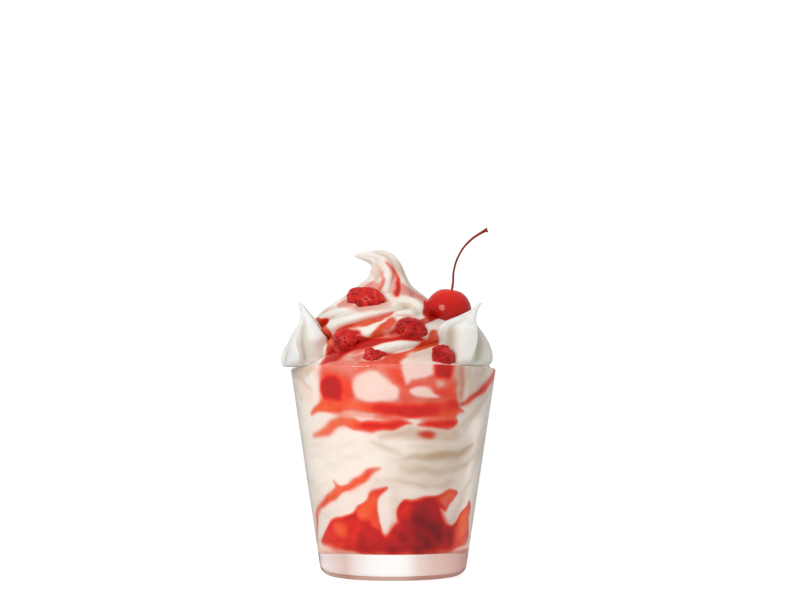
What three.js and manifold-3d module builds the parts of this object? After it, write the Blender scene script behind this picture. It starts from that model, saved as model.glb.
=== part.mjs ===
// Strawberry sundae in its glass tumbler.
//
// Millimetres, +Z up. The origin is the centre of the glass's flat base and the shown side faces -Y.
// Azimuths are in degrees, 0 at the front (-Y) and growing towards +X.

import * as THREE from 'three';
import { mergeVertices } from 'three/addons/utils/BufferGeometryUtils.js';
import Module from 'manifold-3d';

const wasm = await Module();
wasm.setup();

// ---------------------------------------------------------------- driving dimensions

const GAP = 0.3; // clearance between pieces that touch
const SIMPLEST = 0.1; // how far a cut body's surface may move as needless points are dropped

// Glass tumbler: straight flared wall, rounded foot, thick clear floor.
const GLASS_HEIGHT = 85;
const GLASS_ROOT_RADIUS = 29.67; // outer wall carried down to the table
const GLASS_FLARE = 0.151; // outward run for each millimetre of height
const FOOT_ROUND = 4.8; // radius of the rounded outer foot
const FLOOR_HEIGHT = 10.8; // top of the clear floor, where the sauce starts
const FLOOR_ROUND = 4.5; // radius of the inner corner
const WALL_AT_FOOT = 2.3;
const WALL_AT_RIM = 1.7;
const GLASS_COLUMNS = 48;
const FOOT_PARTS = 4; // straight parts of each round stretch of the glass's profile
const RIM_PARTS = 4;
const CORNER_PARTS = 3;

// Sauce at the bottom, and the soft serve that runs down into it in drips.
const COMPOTE_LEVEL = 31; // highest top of the bottom sauce, against the glass
const COMPOTE_CROWN = 3; // rise of its top towards the middle
const BEVEL_SHARES = [0, 0.4, 0.75, 1]; // rings of its rounded foot, as shares of the bend
const DRIP_COLUMNS = 56;
const DRIP_SHARES = [0, 0.5, 0.8, 1]; // rings of the face, as shares of the glass's inner radius
const CREAM_DRIPS = [ // [azimuth, half width in degrees, depth]
  [-68, 24, 13],
  [-5, 8, 14],
  [46, 9, 11],
  [110, 14, 9],
  [160, 9, 13],
  [206, 12, 7],
  [248, 16, 10],
];

// Band of sauce that runs through the soft serve below the rim.
const BAND_LEVEL = 65;
const BAND_THICKNESS = 5.3;
const BAND_COLUMNS = 40;
const BAND_WAVES = [ // waves round the glass: [height, waves in a turn, start in degrees]
  [0.9, 2, 40],
  [0.45, 3, 115],
];

// Soft-serve swirl: a fluted tower that twists as it rises and hooks over to the left at its peak.
// Each row is [x, z, radius, lean in degrees towards -X, twist in degrees, groove depth].
const SWIRL_FLUTES = 7;
const CREST_PLACE = 1 / 8; // a ribbon's crest, towards its lower side so that it sags over the next
const GROOVE_SHAPE = 2.2; // how round a ribbon is between its grooves
const SWIRL_COLUMNS_PER_FLUTE = 8;
const SWIRL_STEPS = 42;
const SWIRL_ROWS = [
  [0, 71, 38.2, 0, -200, 0],
  [0, 84, 39.9, 0, -167, 0.2],
  [0, 90, 38.7, 0, -127, 2.2],
  [-0.8, 96, 36.9, 0, -87, 2.8],
  [-2.5, 102, 34, 0, -47, 3],
  [-3.8, 106, 30.4, 0, -20, 3],
  [-4.3, 109, 26.1, 0, 0, 3],
  [-4.2, 112, 21.6, 0, 20, 2.8],
  [-3.9, 116, 16.3, 0, 36, 2.6],
  [-3.6, 120, 11.5, 0, 44, 2.2],
  [-2.4, 124, 8, 3, 51, 1.9],
  [-3.2, 127.5, 7, 12, 57, 1.6],
  [-5.2, 130.2, 5.4, 40, 62, 1.1],
  [-8.6, 131.6, 3.3, 72, 66, 0.6],
  [-12.6, 132.1, 1.8, 90, 70, 0.2],
  [-16, 132.3, 0.5, 90, 72, 0],
];

// Hollows that the dollops and the cherry press into the swirl: [azimuth, half width in degrees, z,
// half height, depth].
const SWIRL_HOLLOWS = [
  [-62, 22, 96, 12, 4.5],
  [50, 20, 94, 12, 4.5],
  [54, 15, 109, 6.5, 5],
];

// Fold of soft serve that turns back on itself at the front: [x, y, z, radius].
const FOLD_COLUMNS = 10;
const FOLD_STEPS = 16;
const FOLD_ROWS = [
  [-6.5, -19.5, 113.2, 0.4],
  [-4.4, -19.6, 112.9, 1.8],
  [-0.5, -19.9, 112.2, 2.7],
  [4.3, -20.3, 111.2, 2.9],
  [8.3, -20.8, 109.7, 2.8],
  [10.3, -24, 107.3, 2.4],
  [7.1, -28.2, 105.7, 1.9],
  [2.7, -29.8, 105.1, 1.5],
  [-2.1, -31.2, 104.2, 0.4],
];

// Whipped-cream dollops that lean over the rim, pointed at the top and folded into petals: rows as for
// the swirl. A petal has a sharp ridge, a deep hollow past it, and rises to the next ridge.
const DOLLOP_PETALS = 4;
const RIDGE_SHARE = 0.22; // share of a petal from its ridge to the bottom of the hollow
const PETAL_SHAPE = 1.3;
const DOLLOP_COLUMNS_PER_PETAL = 7;
const DOLLOP_STEPS = 13;
const LEFT_DOLLOP = {
  name: 'whipped_cream_left',
  depth: -14,
  stretch: 1.3,
  rows: [
    [-37.6, 85.4, 7.2, 0, -1, 0.6],
    [-37.1, 87, 8.6, 0, -3, 1.6],
    [-36.4, 89.5, 9.3, 0, -7, 2.6],
    [-35.9, 92.5, 9.4, 0, -17, 3],
    [-34.6, 96.2, 9.3, 0, -31, 3],
    [-34.3, 99.8, 6.9, 0, -44, 2.3],
    [-34.6, 103.2, 4.4, 4, -50, 1.3],
    [-35.9, 106.7, 2.3, 14, -54, 0.6],
    [-37.1, 109.2, 1.3, 24, -58, 0.1],
    [-38.3, 111.2, 0.4, 35, -60, 0],
  ],
};
const RIGHT_DOLLOP = {
  name: 'whipped_cream_right',
  depth: -22,
  stretch: 0.95,
  rows: [
    [29.1, 85.4, 9.2, 0, 6, 1.2],
    [29, 87, 10.8, 0, 9, 2.4],
    [28.9, 90, 11.3, 0, 15, 3.4],
    [28.1, 94.5, 11.3, 0, 27, 3.8],
    [26.9, 98.5, 10.6, 0, 38, 3.5],
    [26.9, 101.6, 8.8, -4, 48, 2.6],
    [29.6, 104.4, 4.4, -14, 58, 1.2],
    [32.2, 107, 1.7, -26, 66, 0.3],
    [33.8, 109.2, 0.9, -34, 72, 0.1],
    [35.3, 110.6, 0.4, -40, 76, 0],
  ],
};

// Cherry with its stem, sunk in the swirl at the right.
const CHERRY_CENTRE = [22.7, -5, 108.5];
const CHERRY_RADIUS = 9.7;
const CHERRY_DIMPLE = 1.6;
const CHERRY_DIMPLE_WIDTH = 2.4;
const CHERRY_LEAN = 10; // degrees, stem end towards +X
const CHERRY_COLUMNS = 18;
const CHERRY_STEPS = 11;
const STEM_COLUMNS = 8;
const STEM_STEPS = 12;
const STEM_ROWS = [ // [x, y, z, radius]
  [24.16, -5, 116.9, 0.5],
  [24.7, -5, 120.5, 0.45],
  [25, -5, 125, 0.38],
  [26.3, -5, 130, 0.38],
  [29.1, -5, 135.1, 0.4],
  [32.9, -5, 139, 0.45],
  [37.4, -5, 141.9, 0.62],
  [39, -5, 142.6, 1.1],
];

// Strawberry pieces: [name, azimuth, distance from the glass axis, z, roll in degrees, half sizes].
// Half sizes are along the surface, up it, and through it.
const BERRY_COLUMNS = 12;
const BERRY_STEPS = 8;
const BERRIES = [
  ['strawberry_top', -29.5, 22.4, 112.3, 10, [8.6, 5.3, 4.6]],
  ['strawberry_left', -32, 35.8, 94.8, -20, [5.8, 4.8, 4.4]],
  ['strawberry_front', -12, 35.6, 87.8, 10, [5.6, 4.6, 4.2]],
  ['strawberry_middle', 12, 34.6, 99.2, 14, [6.3, 4.6, 4.4]],
  ['strawberry_right', 31.5, 36.4, 87.8, 0, [6.2, 5.1, 4.2]],
  ['strawberry_back_right', 128, 35.4, 97.5, 12, [6.8, 4.7, 4.5]],
  ['strawberry_back', 176, 36, 90.6, -10, [6, 4.6, 4.3]],
  ['strawberry_back_left', 226, 32.4, 103.4, 18, [7, 4.6, 4.5]],
];

// ---------------------------------------------------------------- small maths

const turn = (degrees) => THREE.MathUtils.degToRad(degrees);

// Smooth values of every column of a table at place t, counted in rows.
function along(rows, t) {
  const first = Math.min(Math.floor(t), rows.length - 2);
  const f = t - first;
  const row = (k) => rows[Math.min(Math.max(k, 0), rows.length - 1)];
  return rows[0].map((_, column) => {
    const [a, b, c, d] = [-1, 0, 1, 2].map((step) => row(first + step)[column]);
    return b + 0.5 * f * (c - a + f * (2 * a - 5 * b + 4 * c - d + f * (3 * (b - c) + d - a)));
  });
}

// Depth of a flute's groove, 0 on the crest to 1 in the valley.
function groove(turns) {
  const place = turns - Math.round(turns);
  const half = place > CREST_PLACE ? 0.5 - CREST_PLACE : 0.5 + CREST_PLACE;
  return Math.abs((place - CREST_PLACE) / half) ** GROOVE_SHAPE;
}

// Depth of a petal's hollow, 0 on its ridge to 1 at the bottom.
function petal(turns) {
  const place = turns - Math.floor(turns);
  if (place < RIDGE_SHARE) return Math.sin((Math.PI / 2) * (place / RIDGE_SHARE));
  return ((1 - place) / (1 - RIDGE_SHARE)) ** PETAL_SHAPE;
}

// Degrees from one azimuth to another, the short way round.
const apart = (from, to) => THREE.MathUtils.euclideanModulo(to - from + 180, 360) - 180;

// Depth of a hollow at an azimuth and a height.
function hollow([azimuth, halfWidth, z, halfHeight, depth], atAzimuth, atZ) {
  const off = (apart(azimuth, atAzimuth) / halfWidth) ** 2 + ((atZ - z) / halfHeight) ** 2;
  return depth * Math.exp(-off);
}

const glassRadius = (z) => GLASS_ROOT_RADIUS + GLASS_FLARE * z;
const wall = (z) => THREE.MathUtils.lerp(WALL_AT_FOOT, WALL_AT_RIM, z / GLASS_HEIGHT);
const fillRadius = (z) => glassRadius(z) - wall(z) - GAP;

// Height of the face between the bottom sauce and the soft serve. Inwards it levels out.
function compoteTop(azimuth, share) {
  const drips = CREAM_DRIPS.map(([centre, width, depth]) => (
    depth * Math.exp(-((apart(centre, azimuth) / width) ** 2))));
  return COMPOTE_LEVEL + COMPOTE_CROWN - share ** 2 * Math.max(...drips);
}

function bandBottom(azimuth, share) {
  const waves = BAND_WAVES.map(([height, count, start]) => height * Math.sin(turn(count * azimuth + start)));
  return BAND_LEVEL + share * waves.reduce((sum, wave) => sum + wave, 0);
}

const bandTop = (azimuth, share) => bandBottom(azimuth, share) + BAND_THICKNESS;

// ---------------------------------------------------------------- closed bodies

// Only positions, shared vertices merged, triangles with no area dropped, faces pointing out.
function closed(geometry) {
  geometry.deleteAttribute('normal');
  geometry.deleteAttribute('uv');
  const merged = mergeVertices(geometry, 1e-4);
  const { array } = merged.index;
  const kept = [];
  let volume = 0;
  const [p, q, r] = [new THREE.Vector3(), new THREE.Vector3(), new THREE.Vector3()];
  for (let i = 0; i < array.length; i += 3) {
    const [a, b, c] = [array[i], array[i + 1], array[i + 2]];
    if (a === b || b === c || c === a) continue;
    kept.push(a, b, c);
    p.fromBufferAttribute(merged.attributes.position, a);
    q.fromBufferAttribute(merged.attributes.position, b);
    r.fromBufferAttribute(merged.attributes.position, c);
    volume += p.dot(q.cross(r));
  }
  if (volume < 0) kept.reverse();
  merged.setIndex(kept);
  return merged;
}

// A lathe with rings of columns, whose every point goes to place(turn of the column, ring number).
function turned(rings, columns, place) {
  const profile = Array.from({ length: rings + 1 }, (_, ring) => new THREE.Vector2(1, ring));
  const geometry = new THREE.LatheGeometry(profile, columns);
  const { position } = geometry.attributes;
  for (let i = 0; i < position.count; i += 1) {
    const column = Math.floor(i / (rings + 1)) % columns;
    const point = place((2 * Math.PI * column) / columns, i % (rings + 1));
    position.setXYZ(i, ...point);
  }
  return closed(geometry);
}

const around = (radius, angle, z) => [radius * Math.sin(angle), -radius * Math.cos(angle), z];

// A fluted tower. It starts and ends in a point, so its first ring is closed by a flat foot.
function tower({ rows, steps, flutes, columns, cut, depth = 0, stretch = 1, hollows = [], foot = () => 0 }) {
  return turned(steps + 2, columns, (angle, ring) => {
    const step = THREE.MathUtils.clamp(ring - 1, 0, steps);
    const [x, z, radius, lean, twist, deep] = along(rows, (step / steps) * (rows.length - 1));
    const azimuth = angle + turn(twist);
    const pointed = ring === 0 || ring === steps + 2;
    const degrees = THREE.MathUtils.radToDeg(azimuth);
    const pressed = hollows.map((row) => hollow(row, degrees, z)).reduce((sum, dent) => sum + dent, 0);
    const reach = pointed ? 0 : radius - pressed - deep * cut((angle * flutes) / (2 * Math.PI));
    const [across, back] = around(reach, azimuth, 0);
    const lift = foot(degrees, pointed ? 0 : 1, step);
    return [
      x + across * Math.cos(turn(lean)),
      depth + back * stretch,
      z + across * Math.sin(turn(lean)) + lift,
    ];
  });
}

// A round bar bent along rows of [x, y, z, radius], closed at both ends.
function bar(rows, columns, steps) {
  const front = new THREE.Vector3(0, -1, 0);
  const at = (step) => along(rows, (step / steps) * (rows.length - 1));
  return turned(steps + 2, columns, (angle, ring) => {
    const step = THREE.MathUtils.clamp(ring - 1, 0, steps);
    const [x, y, z, radius] = at(step);
    const ahead = new THREE.Vector3(...at(Math.min(step + 0.5, steps)));
    const tangent = ahead.sub(new THREE.Vector3(...at(Math.max(step - 0.5, 0)))).normalize();
    const side = new THREE.Vector3().crossVectors(tangent, front).normalize();
    const out = new THREE.Vector3().crossVectors(side, tangent);
    const reach = ring === 0 || ring === steps + 2 ? 0 : radius;
    const point = new THREE.Vector3(x, y, z);
    point.addScaledVector(side, reach * Math.cos(angle)).addScaledVector(out, reach * Math.sin(angle));
    return [point.x, point.y, point.z];
  });
}

// A filling between two wavy faces that follows the glass wall. Its rings run outwards over the top
// and inwards under the bottom, as the face below it does, so that both are split into like triangles.
function layer(bottom, top, columns, shares = [0, 0.8, 1]) {
  const outwards = shares.map((share) => [share, top]);
  const inwards = [...shares].reverse().map((share) => [share, bottom]);
  const rings = [...outwards, ...inwards];
  return turned(rings.length - 1, columns, (angle, ring) => {
    const [share, face] = rings[ring];
    const z = face(THREE.MathUtils.radToDeg(angle), share);
    return around(share * fillRadius(z), angle, z);
  });
}

// ---------------------------------------------------------------- joining and cutting

function solid(geometry) {
  return new wasm.Manifold(new wasm.Mesh({
    numProp: 3,
    vertProperties: new Float32Array(geometry.attributes.position.array),
    triVerts: new Uint32Array(geometry.index.array),
  }));
}

// The largest body of a solid, as a geometry. Loose scraps that a cut leaves are dropped.
function body(manifold) {
  const pieces = manifold.decompose().sort((a, b) => b.volume() - a.volume());
  const { vertProperties, triVerts } = pieces[0].simplify(SIMPLEST).getMesh();
  const geometry = new THREE.BufferGeometry();
  geometry.setAttribute('position', new THREE.BufferAttribute(vertProperties, 3));
  geometry.setIndex(new THREE.BufferAttribute(triVerts, 1));
  return geometry;
}

// ---------------------------------------------------------------- the pieces

function glass() {
  const slope = Math.atan(GLASS_FLARE);
  const arc = (centreR, centreZ, radius, from, to, parts) => Array.from({ length: parts + 1 }, (_, i) => {
    const angle = THREE.MathUtils.lerp(from, to, i / parts);
    return [centreR + radius * Math.cos(angle), centreZ + radius * Math.sin(angle)];
  });
  const footR = GLASS_ROOT_RADIUS + GLASS_FLARE * FOOT_ROUND - FOOT_ROUND / Math.cos(slope);
  const foot = arc(footR, FOOT_ROUND, FOOT_ROUND, -Math.PI / 2, -slope, FOOT_PARTS);
  const lip = WALL_AT_RIM / 2;
  const rimR = glassRadius(GLASS_HEIGHT) - lip;
  const rim = arc(rimR, GLASS_HEIGHT - lip, lip, -slope, Math.PI - slope, RIM_PARTS);
  const cornerZ = FLOOR_HEIGHT + FLOOR_ROUND;
  const cornerR = glassRadius(cornerZ) - wall(cornerZ) - FLOOR_ROUND;
  const corner = arc(cornerR, cornerZ, FLOOR_ROUND, -slope, -Math.PI / 2, CORNER_PARTS);
  const profile = [[0, 0], ...foot, ...rim, ...corner, [0, FLOOR_HEIGHT]];
  return turned(profile.length - 1, GLASS_COLUMNS, (angle, ring) => {
    const [radius, z] = profile[ring];
    return around(radius, angle, z);
  });
}

function compote() {
  const cornerZ = FLOOR_HEIGHT + FLOOR_ROUND;
  const bevel = BEVEL_SHARES.map((share) => {
    const angle = share * (Math.PI / 2 - Math.atan(GLASS_FLARE));
    const centreR = fillRadius(cornerZ) - FLOOR_ROUND;
    return [centreR + FLOOR_ROUND * Math.sin(angle), cornerZ + GAP - FLOOR_ROUND * Math.cos(angle)];
  });
  const shares = [...DRIP_SHARES].reverse();
  const floor = [[0, FLOOR_HEIGHT + GAP], ...bevel];
  return turned(floor.length + shares.length - 1, DRIP_COLUMNS, (angle, ring) => {
    if (ring < floor.length) return around(floor[ring][0], angle, floor[ring][1]);
    const share = shares[ring - floor.length];
    const z = compoteTop(THREE.MathUtils.radToDeg(angle), share);
    return around(share * fillRadius(z), angle, z);
  });
}

function softServeFill() {
  const bottom = (azimuth, share) => compoteTop(azimuth, share) + GAP;
  const top = (azimuth, share) => bandBottom(azimuth, share) - GAP;
  return layer(bottom, top, DRIP_COLUMNS, DRIP_SHARES);
}

function swirl() {
  const [, footLevel] = SWIRL_ROWS[0];
  const spiral = tower({
    rows: SWIRL_ROWS,
    steps: SWIRL_STEPS,
    flutes: SWIRL_FLUTES,
    columns: SWIRL_FLUTES * SWIRL_COLUMNS_PER_FLUTE,
    cut: groove,
    hollows: SWIRL_HOLLOWS,
    foot: (azimuth, share, step) => (step === 0 ? bandTop(azimuth, share) + GAP - footLevel : 0),
  });
  return solid(spiral).add(solid(bar(FOLD_ROWS, FOLD_COLUMNS, FOLD_STEPS)));
}

function dollop({ rows, depth, stretch }, grow = 0) {
  return tower({
    rows: rows.map(([x, z, radius, ...rest], i) => [x, i === 0 ? z - grow : z, radius + grow, ...rest]),
    steps: DOLLOP_STEPS,
    flutes: DOLLOP_PETALS,
    columns: DOLLOP_PETALS * DOLLOP_COLUMNS_PER_PETAL,
    cut: petal,
    depth,
    stretch,
  });
}

function cherry(grow = 0) {
  const geometry = turned(CHERRY_STEPS, CHERRY_COLUMNS, (angle, ring) => {
    const polar = Math.PI * (1 - ring / CHERRY_STEPS);
    const radius = CHERRY_RADIUS + grow;
    const reach = radius * Math.sin(polar);
    const dimple = polar < Math.PI / 2 ? CHERRY_DIMPLE * Math.exp(-((reach / CHERRY_DIMPLE_WIDTH) ** 2)) : 0;
    return around(reach, angle, radius * Math.cos(polar) - dimple);
  });
  geometry.rotateY(turn(CHERRY_LEAN));
  geometry.translate(...CHERRY_CENTRE);
  return geometry;
}

// A lump of strawberry with an uneven skin, its own for each number.
function berry([, , , , , halves], number, grow = 0) {
  const geometry = turned(BERRY_STEPS, BERRY_COLUMNS, (angle, ring) => {
    const polar = Math.PI * (1 - ring / BERRY_STEPS);
    return around(Math.sin(polar), angle, Math.cos(polar));
  });
  const { position } = geometry.attributes;
  const [wide, high, deep] = halves;
  for (let i = 0; i < position.count; i += 1) {
    const [x, y, z] = [position.getX(i), position.getY(i), position.getZ(i)];
    const lumps = Math.sin(5 * x + number * 1.7) + Math.sin(4 * z - 3 * y + number * 2.3)
      + Math.sin(6 * y + 5 * z + number);
    const size = 1 + 0.05 * lumps;
    position.setXYZ(i, x * (wide * size + grow), y * (deep * size + grow), z * (high * size + grow));
  }
  return geometry;
}

function place(object, [, azimuth, distance, z, roll]) {
  const [x, y] = around(distance, turn(azimuth), z);
  object.position.set(x, y, z);
  object.rotation.set(0, turn(roll), turn(azimuth), 'ZYX');
  object.updateMatrix();
  return object;
}

// ---------------------------------------------------------------- the object

const group = new THREE.Group();

function finish(colour, roughness, metalness = 0, opacity = 1) {
  return { color: colour, roughness, metalness, opacity, transparent: opacity < 1, flatShading: true };
}

const GLASS_LOOK = finish(0xeef3f2, 0.05, 0, 0.3);
const SAUCE_LOOK = finish(0xb4231f, 0.25);
const SOFT_SERVE_LOOK = finish(0xf4ebdc, 0.5);
const WHIPPED_LOOK = finish(0xf3f3ee, 0.6);
const BERRY_LOOK = finish(0xa81a1c, 0.4);
const CHERRY_LOOK = finish(0xcd2019, 0.12);
const STEM_LOOK = finish(0x9c3320, 0.5);

function add(name, geometry, look) {
  geometry.computeVertexNormals();
  const mesh = new THREE.Mesh(geometry, new THREE.MeshStandardMaterial(look));
  mesh.name = name;
  group.add(mesh);
  return mesh;
}

const dollops = [LEFT_DOLLOP, RIGHT_DOLLOP];
const berryCutters = BERRIES.map((row, number) => {
  const cutter = berry(row, number, GAP);
  cutter.applyMatrix4(place(new THREE.Object3D(), row).matrix);
  return solid(cutter);
});
const cherryCutter = solid(cherry(GAP));
const toppings = berryCutters.reduce((all, cutter) => all.add(cutter), cherryCutter);
const dollopCutters = dollops.map((row) => solid(dollop(row, GAP)));

add('glass', glass(), GLASS_LOOK);
add('strawberry_sauce_bottom', compote(), SAUCE_LOOK);
add('soft_serve_fill', softServeFill(), SOFT_SERVE_LOOK);
add('strawberry_sauce_band', layer(bandBottom, bandTop, BAND_COLUMNS), SAUCE_LOOK);
const cutSwirl = dollopCutters.reduce((left, cutter) => left.subtract(cutter), swirl().subtract(toppings));
add('soft_serve_swirl', body(cutSwirl), SOFT_SERVE_LOOK);
dollops.forEach((row) => add(row.name, body(solid(dollop(row)).subtract(toppings)), WHIPPED_LOOK));
add('cherry', cherry(), CHERRY_LOOK);
add('cherry_stem', bar(STEM_ROWS, STEM_COLUMNS, STEM_STEPS), STEM_LOOK);
BERRIES.forEach((row, number) => place(add(row[0], berry(row, number), BERRY_LOOK), row));

export default group;
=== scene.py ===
"""Strawberry sundae in its glass: soft serve, strawberry sauce, whipped cream, fruit and a cherry.

The scene is in metres, +Z up. The sizes below are millimetres, and azimuths are degrees: 0 at the
front (-Y) and growing towards +X. Heights are measured from the table.
"""

import math
import bpy
import numpy as np
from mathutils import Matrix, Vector

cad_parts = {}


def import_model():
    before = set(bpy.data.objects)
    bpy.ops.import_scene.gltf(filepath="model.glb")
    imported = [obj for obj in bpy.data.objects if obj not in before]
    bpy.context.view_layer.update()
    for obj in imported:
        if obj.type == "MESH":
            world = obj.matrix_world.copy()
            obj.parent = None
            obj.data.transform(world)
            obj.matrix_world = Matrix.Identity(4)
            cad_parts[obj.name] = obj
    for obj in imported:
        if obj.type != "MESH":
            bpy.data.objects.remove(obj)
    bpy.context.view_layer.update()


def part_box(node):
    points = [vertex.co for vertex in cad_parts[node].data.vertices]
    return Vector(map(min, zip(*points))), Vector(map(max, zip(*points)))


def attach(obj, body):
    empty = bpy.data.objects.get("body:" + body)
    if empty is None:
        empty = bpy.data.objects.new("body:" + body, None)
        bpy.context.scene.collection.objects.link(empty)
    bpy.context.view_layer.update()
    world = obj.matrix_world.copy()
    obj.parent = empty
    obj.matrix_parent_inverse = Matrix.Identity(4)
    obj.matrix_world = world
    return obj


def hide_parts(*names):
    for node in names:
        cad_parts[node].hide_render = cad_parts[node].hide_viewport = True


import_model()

MM = 0.001

# ---------------------------------------------------------------- sizes of the glass

GLASS_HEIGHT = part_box("glass")[1].z / MM
GLASS_ROOT_RADIUS = 29.67
GLASS_FLARE = 0.151
FOOT_ROUND = 4.8
FLOOR_HEIGHT = 10.8
FLOOR_ROUND = 4.5
WALL_AT_FOOT = 2.3
WALL_AT_RIM = 1.7
GLASS_COLUMNS = 160
FLOOR_REFLECTION = [  # azimuth, and how much of the contents' colour the clear floor shows there, as a painted reflection
    (-90, 0.2), (-72, 0.08), (-52, 0.36), (-39, 0.5), (-28, 0.28), (-18, 0.12), (-8, 0.03), (2, 0.02),
    (10, 0.1), (19, 0.4), (29, 0.5), (40, 0.5), (54, 0.62), (66, 0.9), (90, 0.9),
]
REFLECTION_TOP = FLOOR_HEIGHT + 1.5
TINT_ROWS = (5.5, 7.5, FLOOR_HEIGHT, REFLECTION_TOP)  # extra rows outside, to carry the floor's painted reflection
GREY_FOOT = (0.6, 3.4)  # the foot is grey below the first height and clear above the second
INTO_WALL = 0.15  # the contents reach this far into the glass, so that no air shows between

# ---------------------------------------------------------------- sizes of the contents

FILL_COLUMNS = 448
CAP_RINGS = 6
ROW_HEIGHT = 0.5
COMPOTE_LEVEL = 31
COMPOTE_CROWN = 3
PALE_UNDERSIDE = (20, 25)  # radii between which the underside of the sauce turns from pale to red; the pale is a painted light for the bright glass floor under it
PALE_SAUCE = 0.2
PAINTED_LIGHT_CORNER = (FLOOR_HEIGHT + 0.5, FLOOR_HEIGHT + 4)  # where cream at the foot of the sauce has a painted glow
PAINTED_LIGHT_SIDE = (61, 8, 0.4)  # azimuth, half width and strength of a painted glow held in the contents
PAINTED_LIGHT_TOP = (62, 68)
CREAM_DRIPS = [  # azimuth, half width in degrees, depth
    (-68, 24, 13), (-5, 8, 14), (46, 9, 11), (110, 14, 9), (160, 9, 13), (206, 12, 7), (248, 16, 10),
]
BAND_LEVEL = 65
BAND_THICKNESS = 5.3
BAND_WAVES = [(0.9, 2, 40), (0.45, 3, 115)]  # height, waves in a turn, start in degrees

SWIRL_FLUTES = 7
SWIRL_COLUMNS = SWIRL_FLUTES * 64
SWIRL_STEPS = 168
SWIRL_ROWS = np.array([  # x, z, radius, lean towards -X, twist, groove depth
    (0, 71, 38.2, 0, -200, 0),
    (0, 84, 39.9, 0, -167, 0.2),
    (0, 90, 38.7, 0, -127, 2.2),
    (-0.8, 96, 36.9, 0, -87, 2.8),
    (-2.5, 102, 34, 0, -47, 3),
    (-3.8, 106, 30.4, 0, -20, 3),
    (-4.3, 109, 26.1, 0, 0, 3),
    (-4.2, 112, 21.6, 0, 20, 2.8),
    (-3.9, 116, 16.3, 0, 36, 2.6),
    (-3.6, 120, 11.5, 0, 44, 2.2),
    (-2.4, 124, 8, 3, 51, 1.9),
    (-3.2, 127.5, 7, 12, 57, 1.6),
    (-5.2, 130.2, 5.4, 40, 62, 1.1),
    (-8.6, 131.6, 3.3, 72, 66, 0.6),
    (-12.6, 132.1, 1.8, 90, 70, 0.2),
    (-16, 132.3, 0.5, 90, 72, 0),
], float)
HOOK_HOLLOW = (-9.5, 0, 126)  # middle of the peak's hollow side, where the skin bunches up
HOOK_REACH = 5
HOOK_PASSES = 30
SWIRL_HOLLOWS = [  # azimuth, half width in degrees, z, half height, depth
    (-62, 22, 96, 12, 4.5), (50, 20, 94, 12, 4.5), (54, 15, 109, 6.5, 5),
]
LEAVES_WALL = (84.4, 87)  # heights between which the swirl rolls in from the glass
OPEN_AIR = (84.6, 85.6)  # heights between which it comes out into the open
UPRIGHT_ROWS = 13  # rows below the hook
GROOVE_TOP = 129
CREST_PLACE = 1 / 8  # a ribbon's crest, towards its lower side so that it sags over the next
GROOVE_SHAPE = 2.2

FOLD_ROWS = np.array([  # x, y, z, radius
    (-6.5, -19.5, 113.2, 0.4),
    (-4.4, -19.6, 112.9, 1.8),
    (-0.5, -19.9, 112.2, 2.7),
    (4.3, -20.3, 111.2, 2.9),
    (8.3, -20.8, 109.7, 2.8),
    (10.3, -24, 107.3, 2.4),
    (7.1, -28.2, 105.7, 1.9),
    (2.7, -29.8, 105.1, 1.5),
    (-2.1, -31.2, 104.2, 0.4),
], float)

DOLLOP_PETALS = 4
DOLLOP_STEPS = 150
PETAL_COLUMNS = 54
PETAL_SHADE = 0.6
DOLLOP_FOOT = (85, 88)  # heights over which the painted shade in the hollows comes in
DOLLOP_TIP = (100, 108)  # and goes out
DOLLOP_NECK = (98, 101)  # and the painted shade all over goes out
RIDGE_SHARE = 0.22  # share of a petal from its ridge to the bottom of the hollow past it
PETAL_SHAPE = 1.3
LEFT_DOLLOP_ROWS = np.array([  # x, z, radius, lean, twist, hollow depth
    (-37.6, 85.4, 7.2, 0, -1, 0.6),
    (-37.1, 87, 8.6, 0, -3, 1.6),
    (-36.4, 89.5, 9.3, 0, -7, 2.6),
    (-35.9, 92.5, 9.4, 0, -17, 3),
    (-34.6, 96.2, 9.3, 0, -31, 3),
    (-34.3, 99.8, 6.9, 0, -44, 2.3),
    (-34.6, 103.2, 4.4, 4, -50, 1.3),
    (-35.9, 106.7, 2.3, 14, -54, 0.6),
    (-37.1, 109.2, 1.3, 24, -58, 0.1),
    (-38.3, 111.2, 0.4, 35, -60, 0),
], float)
RIGHT_DOLLOP_ROWS = np.array([  # as at left
    (29.1, 85.4, 9.2, 0, 6, 1.2),
    (29, 87, 10.8, 0, 9, 2.4),
    (28.9, 90, 11.3, 0, 15, 3.4),
    (28.1, 94.5, 11.3, 0, 27, 3.8),
    (26.9, 98.5, 10.6, 0, 38, 3.5),
    (26.9, 101.6, 8.8, -4, 48, 2.6),
    (29.6, 104.4, 4.4, -14, 58, 1.2),
    (32.2, 107, 1.7, -26, 66, 0.3),
    (33.8, 109.2, 0.9, -34, 72, 0.1),
    (35.3, 110.6, 0.4, -40, 76, 0),
], float)
DOLLOPS = [  # side, rows, y, stretch from front to back, painted shade all over
    ("left", LEFT_DOLLOP_ROWS, -14, 1.3, 0),
    ("right", RIGHT_DOLLOP_ROWS, -22, 0.95, 0.2),
]

CHERRY_CENTRE = (22.7, -5, 108.5)
CHERRY_RADIUS = 9.7
CHERRY_DIMPLE = 1.6
CHERRY_DIMPLE_WIDTH = 2.4
CHERRY_LEAN = 10
STEM_ROWS = np.array([  # x, y, z, radius
    (24.16, -5, 116.9, 0.5),
    (24.7, -5, 120.5, 0.47),
    (25, -5, 125, 0.43),
    (26.3, -5, 130, 0.43),
    (29.1, -5, 135.1, 0.45),
    (32.9, -5, 139, 0.5),
    (37.4, -5, 141.9, 0.62),
    (39, -5, 142.6, 1.1),
], float)

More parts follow.
